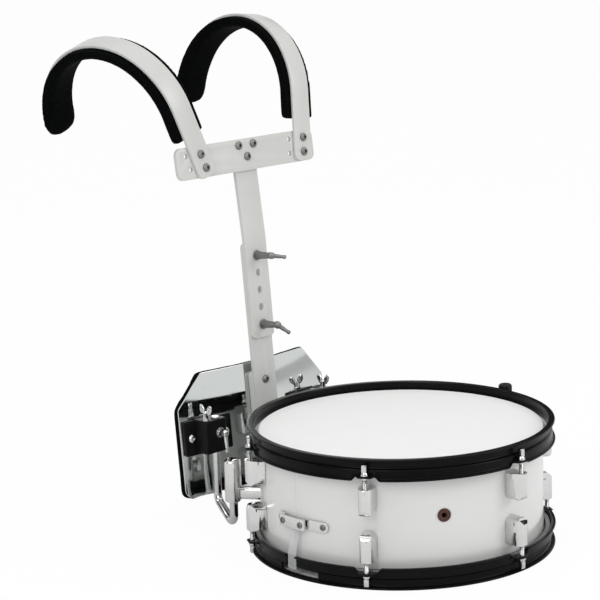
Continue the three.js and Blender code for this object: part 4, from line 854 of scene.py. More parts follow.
vent = spun([
    (3.0, SHELL - 8.2), (4.45, SHELL - 8.2), (4.45, SHELL + SEAT), (8.5, SHELL + SEAT, 0.3),
    (8.1, SHELL + 1.2, 0.7), (5.6, SHELL + 1.9, 1.2), (3.0, SHELL + 1.1, 0.7)], 48, ring=True)
piece("vent_eyelet", vent, "drum", GROMMET, ["vent_grommet"], station(VENT_ANGLE) @ shift(0, 0, VENT_HIGH) @ turn(90, "Y"))


def snare_wires():
    """Twenty coiled wires between two end plates."""
    coil = bmesh.new()
    bmesh.ops.create_circle(coil, cap_ends=False, radius=0.2, segments=3, matrix=shift(0, 0.42, 0) @ turn(90, "Y"))
    coil.transform(shift(-152.5, 0, 0))
    bmesh.ops.spin(
        coil, geom=coil.verts[:] + coil.edges[:], cent=(0, 0, 0), axis=(1, 0, 0), dvec=(305 / 660, 0, 0),
        angle=2 * math.pi * 110, steps=660, use_merge=False, use_duplicate=False)
    strands = copies(coil, [shift(0, -27 + 54 * i / 19, 8.25) for i in range(20)])
    plates = [softened(slab(oblong(min(a, b), max(a, b), -30, 30, 1.5), 7.45, 9.05), 0.35, 2)
              for a, b in ((-166, -152), (152, 166))]
    return together(strands, *plates)


piece("snare_strands", snare_wires(), "drum", STEEL_WIRE, ["snare_wires"])


def ribbon(line, width=14.0, thick=0.8):
    """A strap whose inner face follows a line of (radius, height) corners."""
    bm = chain(line, False, 6)
    raised = bmesh.ops.extrude_edge_only(bm, edges=bm.edges[:])
    bmesh.ops.translate(bm, verts=bm.verts, vec=(0, -width / 2, 0))
    bmesh.ops.translate(bm, verts=new_verts(raised), vec=(0, width, 0))
    bmesh.ops.recalc_face_normals(bm, faces=bm.faces)
    bm.normal_update()
    if bm.faces[:][0].normal.z > 0:
        bmesh.ops.reverse_faces(bm, faces=bm.faces)
    bmesh.ops.solidify(bm, geom=bm.faces[:], thickness=-thick)
    bmesh.ops.recalc_face_normals(bm, faces=bm.faces)
    return bm


STRAP_FOOT = [(153.0, 7.15), (188.7, 7.15, 3.0)]
piece("butt_snare_strap", ribbon([*STRAP_FOOT, (188.7, 27.6, 6), (181.4, 54, 8), (181.4, 67)]), "drum", CLEAR_STRAP,
      ["butt_strap"], station(-90) @ turn(math.degrees(-8 / 188.7), "Z"))
held_strap = sliced(ribbon([*STRAP_FOOT, (188.7, 98)]), 2, steps_from(10, 98, 6))
held_strap = piece("strainer_snare_strap", held_strap, None, CLEAR_STRAP, ["strainer_strap"], station(90))
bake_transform(held_strap)


def round_drum(shape, radius, offset, height):
    """Sets a small piece drawn along +Z on the drum's side, that far round it."""
    return moved(shape, turn(math.degrees(offset / radius), "Z") @ shift(radius, 0, height) @ turn(90, "Y"))


butt = wrapped(softened(panel(oblong(-42, 42, -6.5, 6.5, 6.49), 0, 3, 8), 1.0, 3), SHELL + SEAT)
piece("butt_bar", moved(butt, shift(0, 0, BUTT_HIGH)), "drum", CAST_CHROME, ["butt_plate"], station(-90))
clamp = wrapped(softened(panel(oblong(-31.5, 11.5, -7.25, 7.25, 1.6), 0, 4.2, 4), 1.1, 3), 182.95)
piece("butt_clamp_bar", moved(clamp, shift(0, 0, BUTT_HIGH - 0.8)), "drum", CAST_CHROME, ["butt_clamp"], station(-90))
butt_screws = together(
    round_drum(screw_head(), 181.1, -35.5, BUTT_HIGH), round_drum(screw_head(), 181.1, 35.5, BUTT_HIGH),
    round_drum(screw_head(), 187.1, -25.5, BUTT_HIGH - 0.8), round_drum(screw_head(), 187.1, 5.5, BUTT_HIGH - 0.8))
piece("butt_screws", butt_screws, "drum", DULL_ZINC_AND_PAINTED_SHADE, (), station(-90))

# ---------------------------------------------------------------- strainer on the player's left


def strainer_base():
    plate = wrapped(softened(panel(oblong(-17, 17, 62, 130, 3.2), 0, 2.9, 4), 0.8, 3), SHELL + SEAT)
    cheeks = [softened(panel([(179.4, 80), (198.5, 80, 8), (198.5, 120, 8), (179.4, 120)], near, near + 3, 8), 0.7, 3)
              for near in (-14, 11)]
    screws = [round_drum(screw_head(3.4, 1.8), SHELL + 3.2, 0, height) for height in (69, 125)]
    return together(plate, *cheeks, *screws)


def strainer_carriage():
    block = slab(oblong(182.7, 199, -10.7, 10.7, 1.4), 84, 112, 4)
    ledge = slab([(196, -8), (212.5, -8, 5), (212.5, 8, 5), (196, 8)], 104, 112, 6)
    bore = moved(spun([(0, 80), (2.8, 80), (2.8, 120), (0, 120)], 24), shift(204.5, 0, 0))
    slot = slab(oblong(188.3, 189.9, -15, 15), 80, 102.7)
    return combined(together(softened(block, 0.8, 3), softened(ledge, 0.8, 3)), [bore, slot])


def strainer_knob():
    """A fluted knob with a dished top, on its threaded rod."""
    grip = spun([
        (0, 150), (8.2, 150, 0.6), (8.9, 151.5, 0.8), (8.9, 161, 1.5), (7.2, 163, 1.0), (5.6, 163, 0.6), (4.8, 162.1, 0.5),
        (0, 162.1)], 96)
    for vert in grip.verts:
        reach = math.hypot(vert.co.x, vert.co.y)
        if reach > 6.4 and vert.co.z < 162.6:
            wave = math.cos(8 * math.atan2(vert.co.y, vert.co.x))
            share = eased((162.6 - vert.co.z) / 2.5)
            narrower = 1 - 1.1 * max(wave, 0) ** 2 * share / reach
            vert.co.x *= narrower
            vert.co.y *= narrower
    return grip


def strainer_lever():
    """Two arms on the pivot and a curved grip between their ends."""
    outline = [(188.5, 90), (188.5, 70, 3), (201, 47, 3), (206, 47), (206, 70, 2), (198.5, 90)]
    arms = [softened(panel([*outline, (198.5, 95, 4.9), (188.5, 95, 4.9)], near, near + 2.4, 6), 0.5, 2)
            for near in (-16.7, 14.3)]
    grip = softened(panel(oblong(-16.7, 16.7, 42, 70, 7), 201, 206, 6), 1.5, 4)
    for vert in grip.verts:
        vert.co.y -= 0.9 * math.sin(math.pi * (vert.co.z - 42) / 28) if vert.co.y > 204 else 0
    grip.transform(turn(-90, "Z"))
    pins = [moved(spun([(0, 0), (2.2, 0), (2.2, 7.0), (3.2, 7.0), (3.2, 7.4, 0.4), (2.0, 8.2, 0.5), (0, 8.2)], 24),
                  shift(193.5, side * 8.9, 90) @ turn(-90 * side, "X")) for side in (-1, 1)]
    return together(*arms, grip, *pins)


piece("strainer_plate", strainer_base(), "drum", CAST_CHROME, ["strainer_base"], station(90))
piece("strainer_slide", strainer_carriage(), "strainer_carriage", CAST_CHROME, ["strainer_carriage"], station(90))
piece("strainer_grip", strainer_knob(), "strainer_knob", BLACK_PLASTIC, ["strainer_knob"], station(90) @ shift(204.5, 0, 0))
knob_rod = spun([(0, 104), (2.0, 104), *reversed(thread(2.5, 105, 149.5, 0.9, 0.3)), (2.5, 152), (0, 152)], 20)
piece("strainer_knob_rod", knob_rod, "strainer_knob", CHROME_STEEL, (), station(90) @ shift(204.5, 0, 0))
piece("strainer_throw", strainer_lever(), "strainer_lever", CAST_CHROME, ["strainer_lever"], station(90))

# ---------------------------------------------------------------- receivers and J-rods


def receiver(side):
    """Foot on the shell, arm, upright socket, and two square-headed screws on its outer side."""
    body = slab(oblong(212, 232, -12, 12, 8.5), 40, 95, 8)
    bore = moved(spun([(0, 38), (6.9, 38), (6.9, 40.6), (5.8, 41.6), (5.8, 86.6), (0, 86.6)], 36), shift(RECEIVER_CIRCLE, 0, 0))
    socket = combined(softened(body, 2.2, 4), [bore])
    arm = softened(slab(oblong(179.5, 213, -7, 7), 44, 60), 4.2, 5)
    foot = wrapped(softened(panel(oblong(-17, 17, 39, 65, 5), 0, 3.7, 6), 1.0, 3), SHELL + SEAT)
    screws = []
    for height in (72, 88):
        collar = spun([(0, -1), (3.6, -1), (3.6, 0.9, 0.5), (2.6, 1.2), (0, 1.2)], 24)
        key = softened(slab(oblong(-2.5, 2.5, -2.5, 2.5, 0.4), 1, 7, 2), 0.6, 2)
        screws.append(moved(together(collar, key), shift(RECEIVER_CIRCLE, side * 12, height) @ turn(-90 * side, "X")))
    return together(socket, arm, foot, *screws)


def j_rod(side):
    hook_x = side * RECEIVER_CIRCLE * math.sin(math.radians(RECEIVER_ANGLE))
    hook_y = -RECEIVER_CIRCLE * math.cos(math.radians(RECEIVER_ANGLE))
    return bent_rod(
        [(side * 91, 244, BOSS_TOP + 2.5), (side * 91, 244, 27), (hook_x, hook_y, 5.8), (hook_x, hook_y, 86)],
        [14, 11], J_ROD)


for name, side in (("left", 1), ("right", -1)):
    piece(f"socket_{name}", receiver(side), "drum", CAST_CHROME, [f"receiver_{name}"], station(RECEIVER_ANGLE * side))
    piece(f"hook_rod_{name}", j_rod(side), "j_rods", CHROME_STEEL, [f"j_rod_{name}"])

# ---------------------------------------------------------------- post


def bolts(places, frame_place):
    """Bolt heads that look forwards at (x, y, z) places."""
    return moved(copies(bolt_head(), [shift(*place) @ FACING_FRONT for place in places]), frame_place)


def lower_bar():
    slot = panel(oblong(-4, 4, 69, 184, 3.99), 0, 16, 8)
    bar = combined(panel(oblong(-19, 19, -108, 191, 6), 5.3, 10.3, 6), [slot])
    spacer = panel(oblong(-19, 19, -100, 20, 6), 10.0, 18.3, 6)
    return together(softened(bar, 0.7, 3), softened(spacer, 0.7, 3))


def upper_bar():
    holes = [panel(oblong(-3.6, 3.6, 77 + 23 * i, 87 + 23 * i, 3.59), -2, 8, 8) for i in range(5)]
    bar = softened(combined(panel(oblong(-19, 19, 65, BEND + 128, 6), 0, 5, 6), holes), 0.7, 3)
    sliced(bar, 2, steps_round(BEND - 5.76, 220, 3, 8))
    return bent_back(bar, 2, BEND - 5.76, 0, 220, 3)


piece("post_lower", lower_bar(), "carrier_lower", WHITE_PAINT, ["post_lower_bar"], CARRIER)
piece("post_lower_bolts", bolts([(0, 5.3, 8), (0, 5.3, -84)], CARRIER), "carrier_lower", DULL_ZINC_AND_PAINTED_SHADE)
piece("post_upper", upper_bar(), "carrier_upper", WHITE_PAINT, ["post_upper_bar"], CARRIER)


def lever_screw(shaft, stand, length, angle):
    """A screw along +Z: washer, tapered barrel, and an elbow with an eye and a tapered lever."""
    stem = spun([
        (0, -shaft), (2.4, -shaft), (2.9, 0.6 - shaft), (2.9, 0), (6.8, 0, 0.3), (6.8, 1.4, 0.5), (5.2, 1.5),
        (5.4, 2.4, 0.8), (4.0, stand - 6, 3), (3.7, stand), (0, stand)] if stand > 12 else [
        (0, -shaft), (2.9, -shaft), (2.9, 0), (6.8, 0, 0.3), (6.8, 1.4, 0.5), (4.8, 1.5), (4.1, stand), (0, stand)], 32)
    elbow = bmesh.new()
    bmesh.ops.create_uvsphere(elbow, u_segments=28, v_segments=18, radius=5.2, matrix=shift(0, 0, stand))
    for vert in elbow.verts:
        vert.co.y = max(min(vert.co.y, 3.9), -3.9)
    arm = spun([
        (0, 0), (3.6, 0), (3.3, length * 0.45, 4), (2.6, length * 0.75, 4), (3.3, length - 3, 2), (2.6, length, 1.2), (0, length)], 28)
    for vert in arm.verts:
        vert.co.y *= 0.82
    arm.transform(shift(0, 0, stand) @ turn(angle, "Y"))
    eye = moved(spun([(0, -9), (1.6, -9), (1.6, 9), (0, 9)], 24), shift(0, 0, stand) @ turn(90, "X"))
    rim = moved(spun([(1.6, -4.3, 0.2), (2.6, -4.3, 0.3), (2.6, 4.3, 0.3), (1.6, 4.3, 0.2)], 28, ring=True),
                shift(0, 0, stand) @ turn(90, "X"))
    return together(stem, combined(elbow, [eye]), arm, rim)


for number, (height, twist) in enumerate(((82, -52), (174, -15)), 1):
    spot = CARRIER @ shift(0, -SEAT, height) @ FACING_FRONT @ turn(twist, "Z")
    piece(f"post_clamp_{number}", lever_screw(10.6, 27, 20, 50), f"post_lever_screw_{number}", DULL_ZINC_AND_PAINTED_SHADE,
          [f"post_lever_screw_{number}"], spot)

# ---------------------------------------------------------------- belly plate, pad and brackets


def plate_outline(grow, corner=12.0):
    low, high, half, top, shoulder = -129.5 - grow, 32 + grow, 134 + grow, 94 + grow, -11
    return [(-half, low, corner), (half, low, corner), (half, shoulder, 5), (top, high, 5),
            (-top, high, 5), (-half, shoulder, 5)]


def folded(bm, step=0):
    """Bends the plate's two wings back."""
    start = PLATE_FOLD_AT - 15 * math.tan(math.radians(PLATE_FOLD / 2))
    places = steps_round(start, 15, PLATE_FOLD, 6)
    if step:
        places += steps_from(places[-1], 134, step)
    sliced(bm, 0, [side * place for side in (-1, 1) for place in places])
    for side in (-1, 1):
        bm.transform(Matrix.Diagonal((side, 1, 1, 1)))
        bent_back(bm, 0, start, PLATE_FRONT, 15, PLATE_FOLD)
        bm.transform(Matrix.Diagonal((side, 1, 1, 1)))
    bmesh.ops.recalc_face_normals(bm, faces=bm.faces)
    return bm


piece("belly_sheet", folded(softened(panel(plate_outline(0), PLATE_FRONT, PLATE_FRONT + 2, 8), 0.5, 3)),
      "carrier_lower", MIRROR_PLATE, ["belly_plate"], CARRIER)


def bracket(side):
    """A foot on the plate's wing and a boss with an upright bore for the J-rod."""
    middle = side * 68.67
    wing = plate_wing(side)
    foot = moved(softened(panel(oblong(middle - 37, middle + 37, -73, -27, 2.5), -5.3, -0.3, 4), 0.9, 3), wing)
    inside, outside = sorted((side * 78, side * 114))
    boss = softened(slab([(inside, 235.5, 3), (outside, 235.5, 3), (outside, 278), (inside, 278)],
                         BOSS_TOP - 44, BOSS_TOP, 5), 1.2, 3)
    behind = moved(panel(oblong(-400, 400, -400, 400), -2.8, 200), wing)
    bore = moved(spun([(0, 80), (5.85, 80), (5.85, 160), (0, 160)], 40), shift(side * 91, 244, 0))
    wing_hole = moved(spun([(0, 110), (2.85, 110), (2.85, 160), (0, 160)], 24), shift(side * 108.6, 242.4, 0))
    return together(combined(boss, [behind, bore, wing_hole]), foot)


def wing_screw():
    """A thumb screw: threaded shank, turned hub, and two dished wings."""
    stem = spun([
        (0, -20), (1.9, -20), *reversed(thread(2.5, -18.5, -0.5, 0.9, 0.3)), (2.5, 0), (5, 0, 0.3), (5, 1.5, 0.5),
        (4.5, 3, 0.5), (3.9, 10.5, 0.8), (2.8, 11.7, 0.8), (0, 11.7)], 32)
    wings = []
    for side in (-1, 1):
        lobe = bmesh.new()
        bmesh.ops.create_uvsphere(lobe, u_segments=36, v_segments=20, radius=1.0)
        for vert in lobe.verts:
            away = math.hypot(vert.co.x, vert.co.z)
            dish = 0.45 * eased(1 - away / 0.62)
            vert.co = (7.5 * vert.co.x, 1.9 * vert.co.y * (1 - dish) * (1.25 - 0.35 * away), 4.4 * vert.co.z)
        wings.append(moved(lobe, shift(side * 6.5, 0, 13.7) @ turn(-side * 66, "Y")))
    return together(stem, *wings)


for name, side in (("left", 1), ("right", -1)):
    piece(f"bracket_block_{name}", bracket(side), "carrier_lower", BLACK_BRACKET, [f"bracket_{name}"])
    middle = side * 68.67
    piece(f"bracket_bolts_{name}", bolts([(middle - 26.5, -5.3, -50), (middle + 26.5, -5.3, -50)], plate_wing(side)),
          "carrier_lower", CHROME_STEEL)
    piece(f"bracket_thumb_screw_{name}", wing_screw(), f"bracket_wing_screw_{name}", CHROME_STEEL,
          [f"bracket_wing_screw_{name}"], shift(side * 108.6, 242.4, BOSS_TOP + SEAT) @ turn(90, "Z"))
    piece(f"bracket_clamp_{name}", lever_screw(2.7, 9, 25, 82), f"bracket_lever_screw_{name}", CHROME_STEEL,
          [f"bracket_lever_screw_{name}"], shift(side * 91, 235.2, BOSS_TOP - 18) @ FACING_FRONT @ turn(-90, "Z"))

# ---------------------------------------------------------------- yoke


def crossbar():
    holes = []
    for side, _, splay, _ in SHOULDERS.values():
        for hole in (77.5, 99.5):
            for along in (0, 19):
                x = side * (hole + along * math.sin(math.radians(splay)))
                z = along * math.cos(math.radians(splay))
                holes.append(moved(spun([(0, -9), (3.4, -9), (3.4, 9), (0, 9)], 24), shift(x, 0, z) @ FACING_FRONT))
    return softened(combined(panel(oblong(-122, 122, -12.5, 29, 10), -5.3, -0.3, 8), holes), 0.7, 3)


piece("yoke_bar", crossbar(), "carrier_upper", WHITE_PAINT, ["crossbar"], YOKE)
piece("yoke_bolts", bolts([(-13, -5.3, 21), (13, -5.3, 21), (0, -5.3, 5.5)], YOKE), "carrier_upper", DULL_ZINC_AND_PAINTED_SHADE)


def toed_out(side, toe):
    """Leans a shoulder bar outwards as it runs back."""
    lean = Matrix()
    lean[0][1] = side * math.tan(math.radians(toe))
    return lean


def along_shoulder(section, first, step=4.0):
    """Runs a section up from a height and over the shoulder's three arcs. Y is the depth under the bar's outer face."""
    bmesh.ops.edgeloop_fill(section, edges=section.edges[:])
    bmesh.ops.translate(section, verts=section.verts, vec=(0, 0, first))
    raised = bmesh.ops.extrude_face_region(section, geom=section.faces[:])["geom"]
    bmesh.ops.translate(
        section, verts=[v for v in raised if isinstance(v, bmesh.types.BMVert)], vec=(0, 0, SHOULDER_STRAIGHT - first))
    end = [face for face in raised if isinstance(face, bmesh.types.BMFace)]
    outer = Vector((0, 0, SHOULDER_STRAIGHT))
    gone = 0.0
    for radius, degrees in SHOULDER_ARCS:
        inward = Vector((0, math.cos(gone), -math.sin(gone)))
        centre = outer + inward * radius
        angle = math.radians(degrees)
        last = bmesh.ops.spin(
            section, geom=end, cent=centre, axis=(-1, 0, 0), dvec=(0, 0, 0), angle=angle,
            steps=math.ceil(radius * angle / step), use_merge=False, use_duplicate=False)["geom_last"]
        end = [face for face in last if isinstance(face, bmesh.types.BMFace)]
        gone += angle
        outer = centre - Vector((0, math.cos(gone), -math.sin(gone))) * radius
    bmesh.ops.recalc_face_normals(section, faces=section.faces)
    return section


def flat_section(corners, steps=4):
    """A section across a bar, drawn as (across, deep)."""
    bm = chain(corners, True, steps)
    bm.transform(turn(-90, "X"))
    return bm


def through_bar(corners):
    """A cutter that runs through a bar from its front to its back."""
    return panel(corners, -6, 20, 8)


def shoulder_bar(side, toe):
    strip = along_shoulder(flat_section(oblong(-SHOULDER_HALF, SHOULDER_HALF, 0, 4, 0.9), 3), -12)
    foot = through_bar(oblong(-SHOULDER_HALF, SHOULDER_HALF, -12, 20, [9, 9, 0, 0]))
    corners = combined(through_bar(oblong(-30, 30, -14, 4)), [foot])
    return moved(combined(strip, [corners]), toed_out(side, toe))


def shoulder_fasteners():
    heads = copies(bolt_head(), [shift(0, 0, up) @ FACING_FRONT for up in (0, 19)])
    nuts = copies(hex_nut(), [shift(0, 9.6, up) @ turn(-90, "X") for up in (0, 19)])
    return together(heads, nuts)


def shoulder_place(side, hole, splay):
    return YOKE @ shift(side * hole, -9.6, 0) @ turn(side * splay, "Y")


for name, (side, hole, splay, toe) in SHOULDERS.items():
    place = shoulder_place(side, hole, splay)
    piece(f"shoulder_strip_{name}", shoulder_bar(side, toe), "carrier_upper", WHITE_PAINT, [f"shoulder_bar_{name}"], place)
    piece(f"shoulder_bolts_{name}", shoulder_fasteners(), "carrier_upper", DULL_ZINC_AND_PAINTED_SHADE, (), place)

# ---------------------------------------------------------------- pads


def stuffed(name, bm, body, node, place, resting, voxel=0.0035, most=0.0022, passes=6):
    """A pad swollen by air pressure. The points for which resting(point) holds lie on their bar or plate and stay."""
    resting_points = set()
    mesh = bpy.data.meshes.new(name)
    bm.transform(Matrix.Diagonal((0.001, 0.001, 0.001, 1)))
    bm.to_mesh(mesh)
    bm.free()
    pad = bpy.data.objects.new(name, mesh)
    bpy.context.scene.collection.objects.link(pad)
    even = pad.modifiers.new("even", "REMESH")
    even.mode = "VOXEL"
    even.voxel_size = voxel
    settled = bpy.data.meshes.new_from_object(pad.evaluated_get(bpy.context.evaluated_depsgraph_get()))
    pad.modifiers.clear()
    pad.data = settled
    start = [vert.co.copy() for vert in settled.vertices]
    held = pad.vertex_groups.new(name="resting")
    for vert in settled.vertices:
        if resting(vert.co * 1000):
            held.add([vert.index], 1.0, "REPLACE")
            resting_points.add(vert.index)
    cloth = pad.modifiers.new("swell", "CLOTH")
    cloth.settings.use_pressure = True
    cloth.settings.uniform_pressure_force = 4.0
    cloth.settings.vertex_group_mass = "resting"
    cloth.settings.effector_weights.gravity = 0.0
    cloth.settings.mass = 0.3
    cloth.point_cache.frame_start = 1
    cloth.point_cache.frame_end = 20
    for number in range(1, 21):
        bpy.context.scene.frame_set(number)
    swollen = pad.evaluated_get(bpy.context.evaluated_depsgraph_get()).to_mesh()
    places = [vert.co.copy() for vert in swollen.vertices]
    pad.modifiers.clear()
    bpy.context.scene.frame_set(1)
    for vert, before, after in zip(settled.vertices, start, places):
        move = after - before
        if move.length > most:
            move *= most / move.length
        vert.co = before + move
    final = bmesh.new()
    final.from_mesh(settled)
    free = [vert for vert in final.verts if vert.index not in resting_points]
    for _ in range(passes):
        bmesh.ops.smooth_vert(final, verts=free, factor=0.5, use_axis_x=True, use_axis_y=True, use_axis_z=True)
    final.transform(TO_ROW @ place @ Matrix.Diagonal((1000, 1000, 1000, 1)))
    bmesh.ops.recalc_face_normals(final, faces=final.faces)
    final.to_mesh(settled)
    final.free()
    settled.materials.clear()
    settled.materials.append(BLACK_FOAM)
    settled.shade_smooth()
    round_off = pad.modifiers.new("round", "SUBSURF")
    round_off.levels = 1
    round_off.render_levels = 1
    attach(pad, body)
    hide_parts(node)
    return pad


def shoulder_frame(distance, wide=1.0, thick=1.0):
    """A place on the bar's inner face, that far from the pad's start: X across, Y into the cushion, Z along the bar."""
    climb = min(distance, SHOULDER_STRAIGHT - PAD_START)
    outer = Vector((0, 0, PAD_START + climb))
    left = distance - climb
    gone = 0.0
    for radius, degrees in SHOULDER_ARCS:
        centre = outer + Vector((0, math.cos(gone), -math.sin(gone))) * radius
        angle = min(max(left, 0) / radius, math.radians(degrees))
        gone += angle
        outer = centre - Vector((0, math.cos(gone), -math.sin(gone))) * radius
        left -= radius * angle
    inward = Vector((0, math.cos(gone), -math.sin(gone)))
    ahead = Vector((0, math.sin(gone), math.cos(gone)))
    frame_here = Matrix((Vector((wide, 0, 0)), inward * thick, ahead)).transposed().to_4x4()
    return Matrix.Translation(outer + inward * 4.3 + ahead * left) @ frame_here


def through(section, frames):
    """Carries a closed section through frames, one ring each, and closes both ends."""
    section.transform(frames[0])
    first = section.edges[:]
    ring = first
    for before, after in zip(frames, frames[1:]):
        raised = bmesh.ops.extrude_edge_only(section, edges=ring)["geom"]
        verts = {item for item in raised if isinstance(item, bmesh.types.BMVert)}
        ring = [item for item in raised if isinstance(item, bmesh.types.BMEdge) and set(item.verts) <= verts]
        bmesh.ops.transform(section, matrix=after @ before.inverted(), verts=list(verts))
    bmesh.ops.edgeloop_fill(section, edges=first)
    bmesh.ops.edgeloop_fill(section, edges=ring)
    bmesh.ops.recalc_face_normals(section, faces=section.faces)
    return section


def shoulder_cushion():
    """The cushion's starting shape, drawn slightly smaller than it ends: cut square in front, and round behind."""
    section = flat_section([(-24.6, 0.2, 1.5), (24.6, 0.2, 1.5), (25.4, 12, 4), (-25.4, 12, 4)], 5)
    length = SHOULDER_STRAIGHT - PAD_START + sum(r * math.radians(a) for r, a in SHOULDER_ARCS) + PAD_OVERRUN
    square_end = [(0.8, 0.93, 0.80), (2.0, 0.98, 0.94)]
    round_end = [(22, 1, 1), (16, 0.97, 1), (11, 0.89, 0.98), (7, 0.78, 0.94), (4, 0.64, 0.87), (2, 0.48, 0.75),
                 (0.8, 0.34, 0.6)]
    steps = 62
    rings = square_end + [(4 + (length - 30) * i / steps, 1, 1) for i in range(steps + 1)]
    rings += [(length - far, wide, thick) for far, wide, thick in round_end]
    return through(section, [shoulder_frame(*ring) for ring in rings])


def on_bar(point):
    """Whether a point of the cushion lies on the bar's inner face, worked out along its straight part and arcs."""
    if point.z < SHOULDER_STRAIGHT and point.y < 60:
        return point.y < 6.4
    outer = Vector((0, 0, SHOULDER_STRAIGHT))
    gone = 0.0
    for number, (radius, degrees) in enumerate(SHOULDER_ARCS, 1):
        inward = Vector((0, math.cos(gone), -math.sin(gone)))
        centre = outer + inward * radius
        angle = math.radians(degrees)
        away = Vector((0, point.y, point.z)) - centre
        here = math.atan2(away.z, -away.y)
        end = math.pi if number == len(SHOULDER_ARCS) else gone + angle + 0.001
        if gone - 0.05 <= here <= end and radius - away.length < 6.4:
            return True
        gone += angle
        outer = centre - Vector((0, math.cos(gone), -math.sin(gone))) * radius
    return False


for name, (side, hole, splay, toe) in SHOULDERS.items():
    stuffed(f"shoulder_cushion_{name}", shoulder_cushion(), "carrier_upper", f"shoulder_pad_{name}",
            shoulder_place(side, hole, splay) @ toed_out(side, toe), on_bar, 0.0027, 0.0022, 9)

belly = folded(softened(panel(plate_outline(2.6), PLATE_FRONT + 2.4, PLATE_FRONT + 12.4, 8), 2.2, 3), 20)


def on_plate(point):
    past = max(abs(point.x) - PLATE_FOLD_AT, 0)
    return point.y - past * math.tan(math.radians(PLATE_FOLD)) < PLATE_FRONT + 4.4


stuffed("belly_cushion", belly, "carrier_lower", "belly_pad", CARRIER, on_plate, 0.004, 0.0026, 3)

# ---------------------------------------------------------------- studio


def stage_mesh(name, size, place, material):
    bm = bmesh.new()
    bmesh.ops.create_grid(bm, x_segments=2, y_segments=2, size=size)
    bm.transform(place)
    mesh = bpy.data.meshes.new(name)
    bm.to_mesh(mesh)
    bm.free()
    mesh.materials.append(material)
    made = bpy.data.objects.new(name, mesh)
    bpy.context.scene.collection.objects.link(made)
    return made


def studio_floor():
    look = Finish("floor_white", Roughness=0.9)
    look.set("Base Color", (0.98, 0.98, 0.98))
    paths = look.tree.nodes.new("ShaderNodeLightPath")
    seen = Value(look, paths.outputs["Is Camera Ray"])
    reach, _ = look.from_drum_axis()
    outside = reach.between(SHELL / 1000, HOOP_INNER / 1000)
    glow = look.node("Emission", None, {"Color": (1.0, 1.0, 1.0), "Strength": 1.0})
    shader = Value(look, look.shader.outputs[0])
    both = look.node("MixShader", None, {0: seen * outside * 0.96, 1: shader, 2: glow})
    look.tree.links.new(both.socket, look.tree.nodes["Material Output"].inputs["Surface"])
    stage_mesh("floor", 40, Matrix(), look.material)


def studio_card(name, size, centre, shade):
    """A card beside the camera that only shows in what is polished."""
    look = Finish(f"{name}_grey", Roughness=0.8)
    look.set("Base Color", (shade, shade, shade))
    aim = (Vector((0, 0, 0.2)) - Vector(centre)).to_track_quat("Z", "Y").to_matrix().to_4x4()
    card = stage_mesh(name, 0.5, Matrix.Translation(centre) @ aim @ Matrix.Diagonal((size[0], size[1], 1, 1)), look.material)
    card.visible_camera = False
    card.visible_diffuse = False
    card.visible_shadow = False


def studio_lamp(name, centre, size, watts):
    lamp = bpy.data.lights.new(name, "AREA")
    lamp.shape = "RECTANGLE"
    lamp.size, lamp.size_y = size
    lamp.energy = watts
    made = bpy.data.objects.new(name, lamp)
    made.matrix_world = Matrix.Translation(centre) @ (
        Vector(centre) - Vector((0, 0, 0.25))).to_track_quat("Z", "Y").to_matrix().to_4x4()
    bpy.context.scene.collection.objects.link(made)


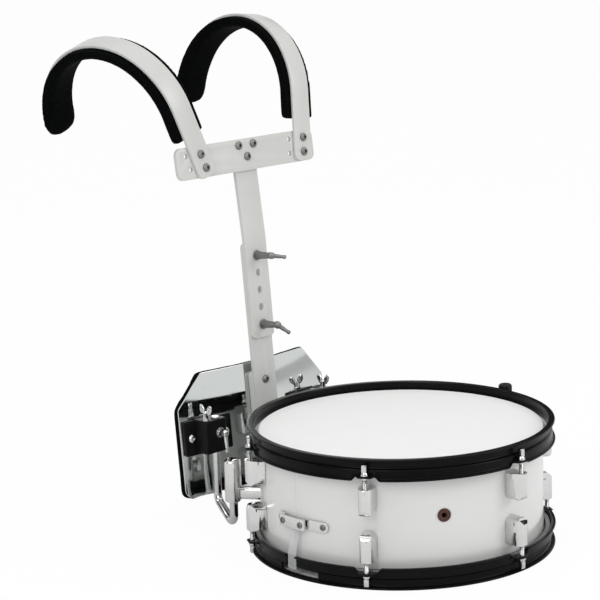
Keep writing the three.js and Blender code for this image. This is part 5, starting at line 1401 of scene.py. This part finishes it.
def studio_world():
    world = bpy.data.worlds.new("studio")
    bpy.context.scene.world = world
    world.use_nodes = True
    nodes, links = world.node_tree.nodes, world.node_tree.links
    paths = nodes.new("ShaderNodeLightPath")
    seen = nodes.new("ShaderNodeMath")
    seen.operation = "MAXIMUM"
    links.new(paths.outputs["Is Camera Ray"], seen.inputs[0])
    mirrored = nodes.new("ShaderNodeMath")
    mirrored.operation = "MAXIMUM"
    links.new(paths.outputs["Is Glossy Ray"], mirrored.inputs[0])
    links.new(paths.outputs["Is Transmission Ray"], mirrored.inputs[1])
    links.new(mirrored.outputs[0], seen.inputs[1])
    strength = nodes.new("ShaderNodeMapRange")
    links.new(seen.outputs[0], strength.inputs[0])
    strength.inputs[3].default_value = 0.56
    strength.inputs[4].default_value = 1.0
    backdrop = nodes["Background"]
    backdrop.inputs["Color"].default_value = (1, 1, 1, 1)
    links.new(strength.outputs[0], backdrop.inputs["Strength"])


def camera():
    """The photograph's camera: 2.64 m from the drum's middle, 0.87 m up, looking down by 12 degrees."""
    facing, pitch, yaw, roll = (math.radians(value) for value in (47.2, 11.90, -2.62, -1.66))
    ahead = Vector((math.sin(yaw) * math.cos(pitch), math.cos(yaw) * math.cos(pitch), -math.sin(pitch)))
    right = Vector((math.cos(yaw), -math.sin(yaw), 0))
    up = right.cross(ahead)
    tilted = math.cos(roll) * right + math.sin(roll) * up
    upright = -math.sin(roll) * right + math.cos(roll) * up
    aim = Matrix((tilted, upright, -ahead)).transposed()
    around = Matrix.Rotation(-facing, 3, "Z")
    lens = bpy.data.cameras.new("camera")
    lens.sensor_width = 36
    lens.lens = 130.77
    lens.clip_end = 50
    made = bpy.data.objects.new("camera", lens)
    made.matrix_world = Matrix.Translation(TO_ROW @ Vector((-1938.1, -1794.3, 870))) @ (around @ aim).to_4x4()
    bpy.context.scene.collection.objects.link(made)
    bpy.context.scene.camera = made


camera()
studio_floor()
studio_world()
studio_lamp("lamp_left", (-2.6, -0.9, 2.0), (1.6, 1.6), 26.5)
studio_lamp("lamp_right", (1.4, -2.6, 1.7), (1.4, 1.6), 29)
studio_lamp("lamp_above", (0.2, 0.2, 3.0), (2.2, 2.2), 13)
studio_card("card_behind_camera", (0.9, 1.1), (-2.9, -2.9, 1.0), 0.02)
studio_card("card_low_front", (3.2, 0.5), (-1.2, -2.2, 0.2), 0.01)
studio_card("card_right", (1.3, 2.6), (2.0, -1.9, 1.0), 0.01)
studio_card("card_left", (1.3, 2.6), (-2.7, 0.5, 1.0), 0.01)
studio_card("card_back_left", (0.9, 2.2), (-1.2, 2.9, 0.9), 0.02)
studio_card("card_back_right", (0.9, 2.2), (2.6, 1.6, 0.9), 0.02)
bpy.context.scene.view_settings.view_transform = "Standard"
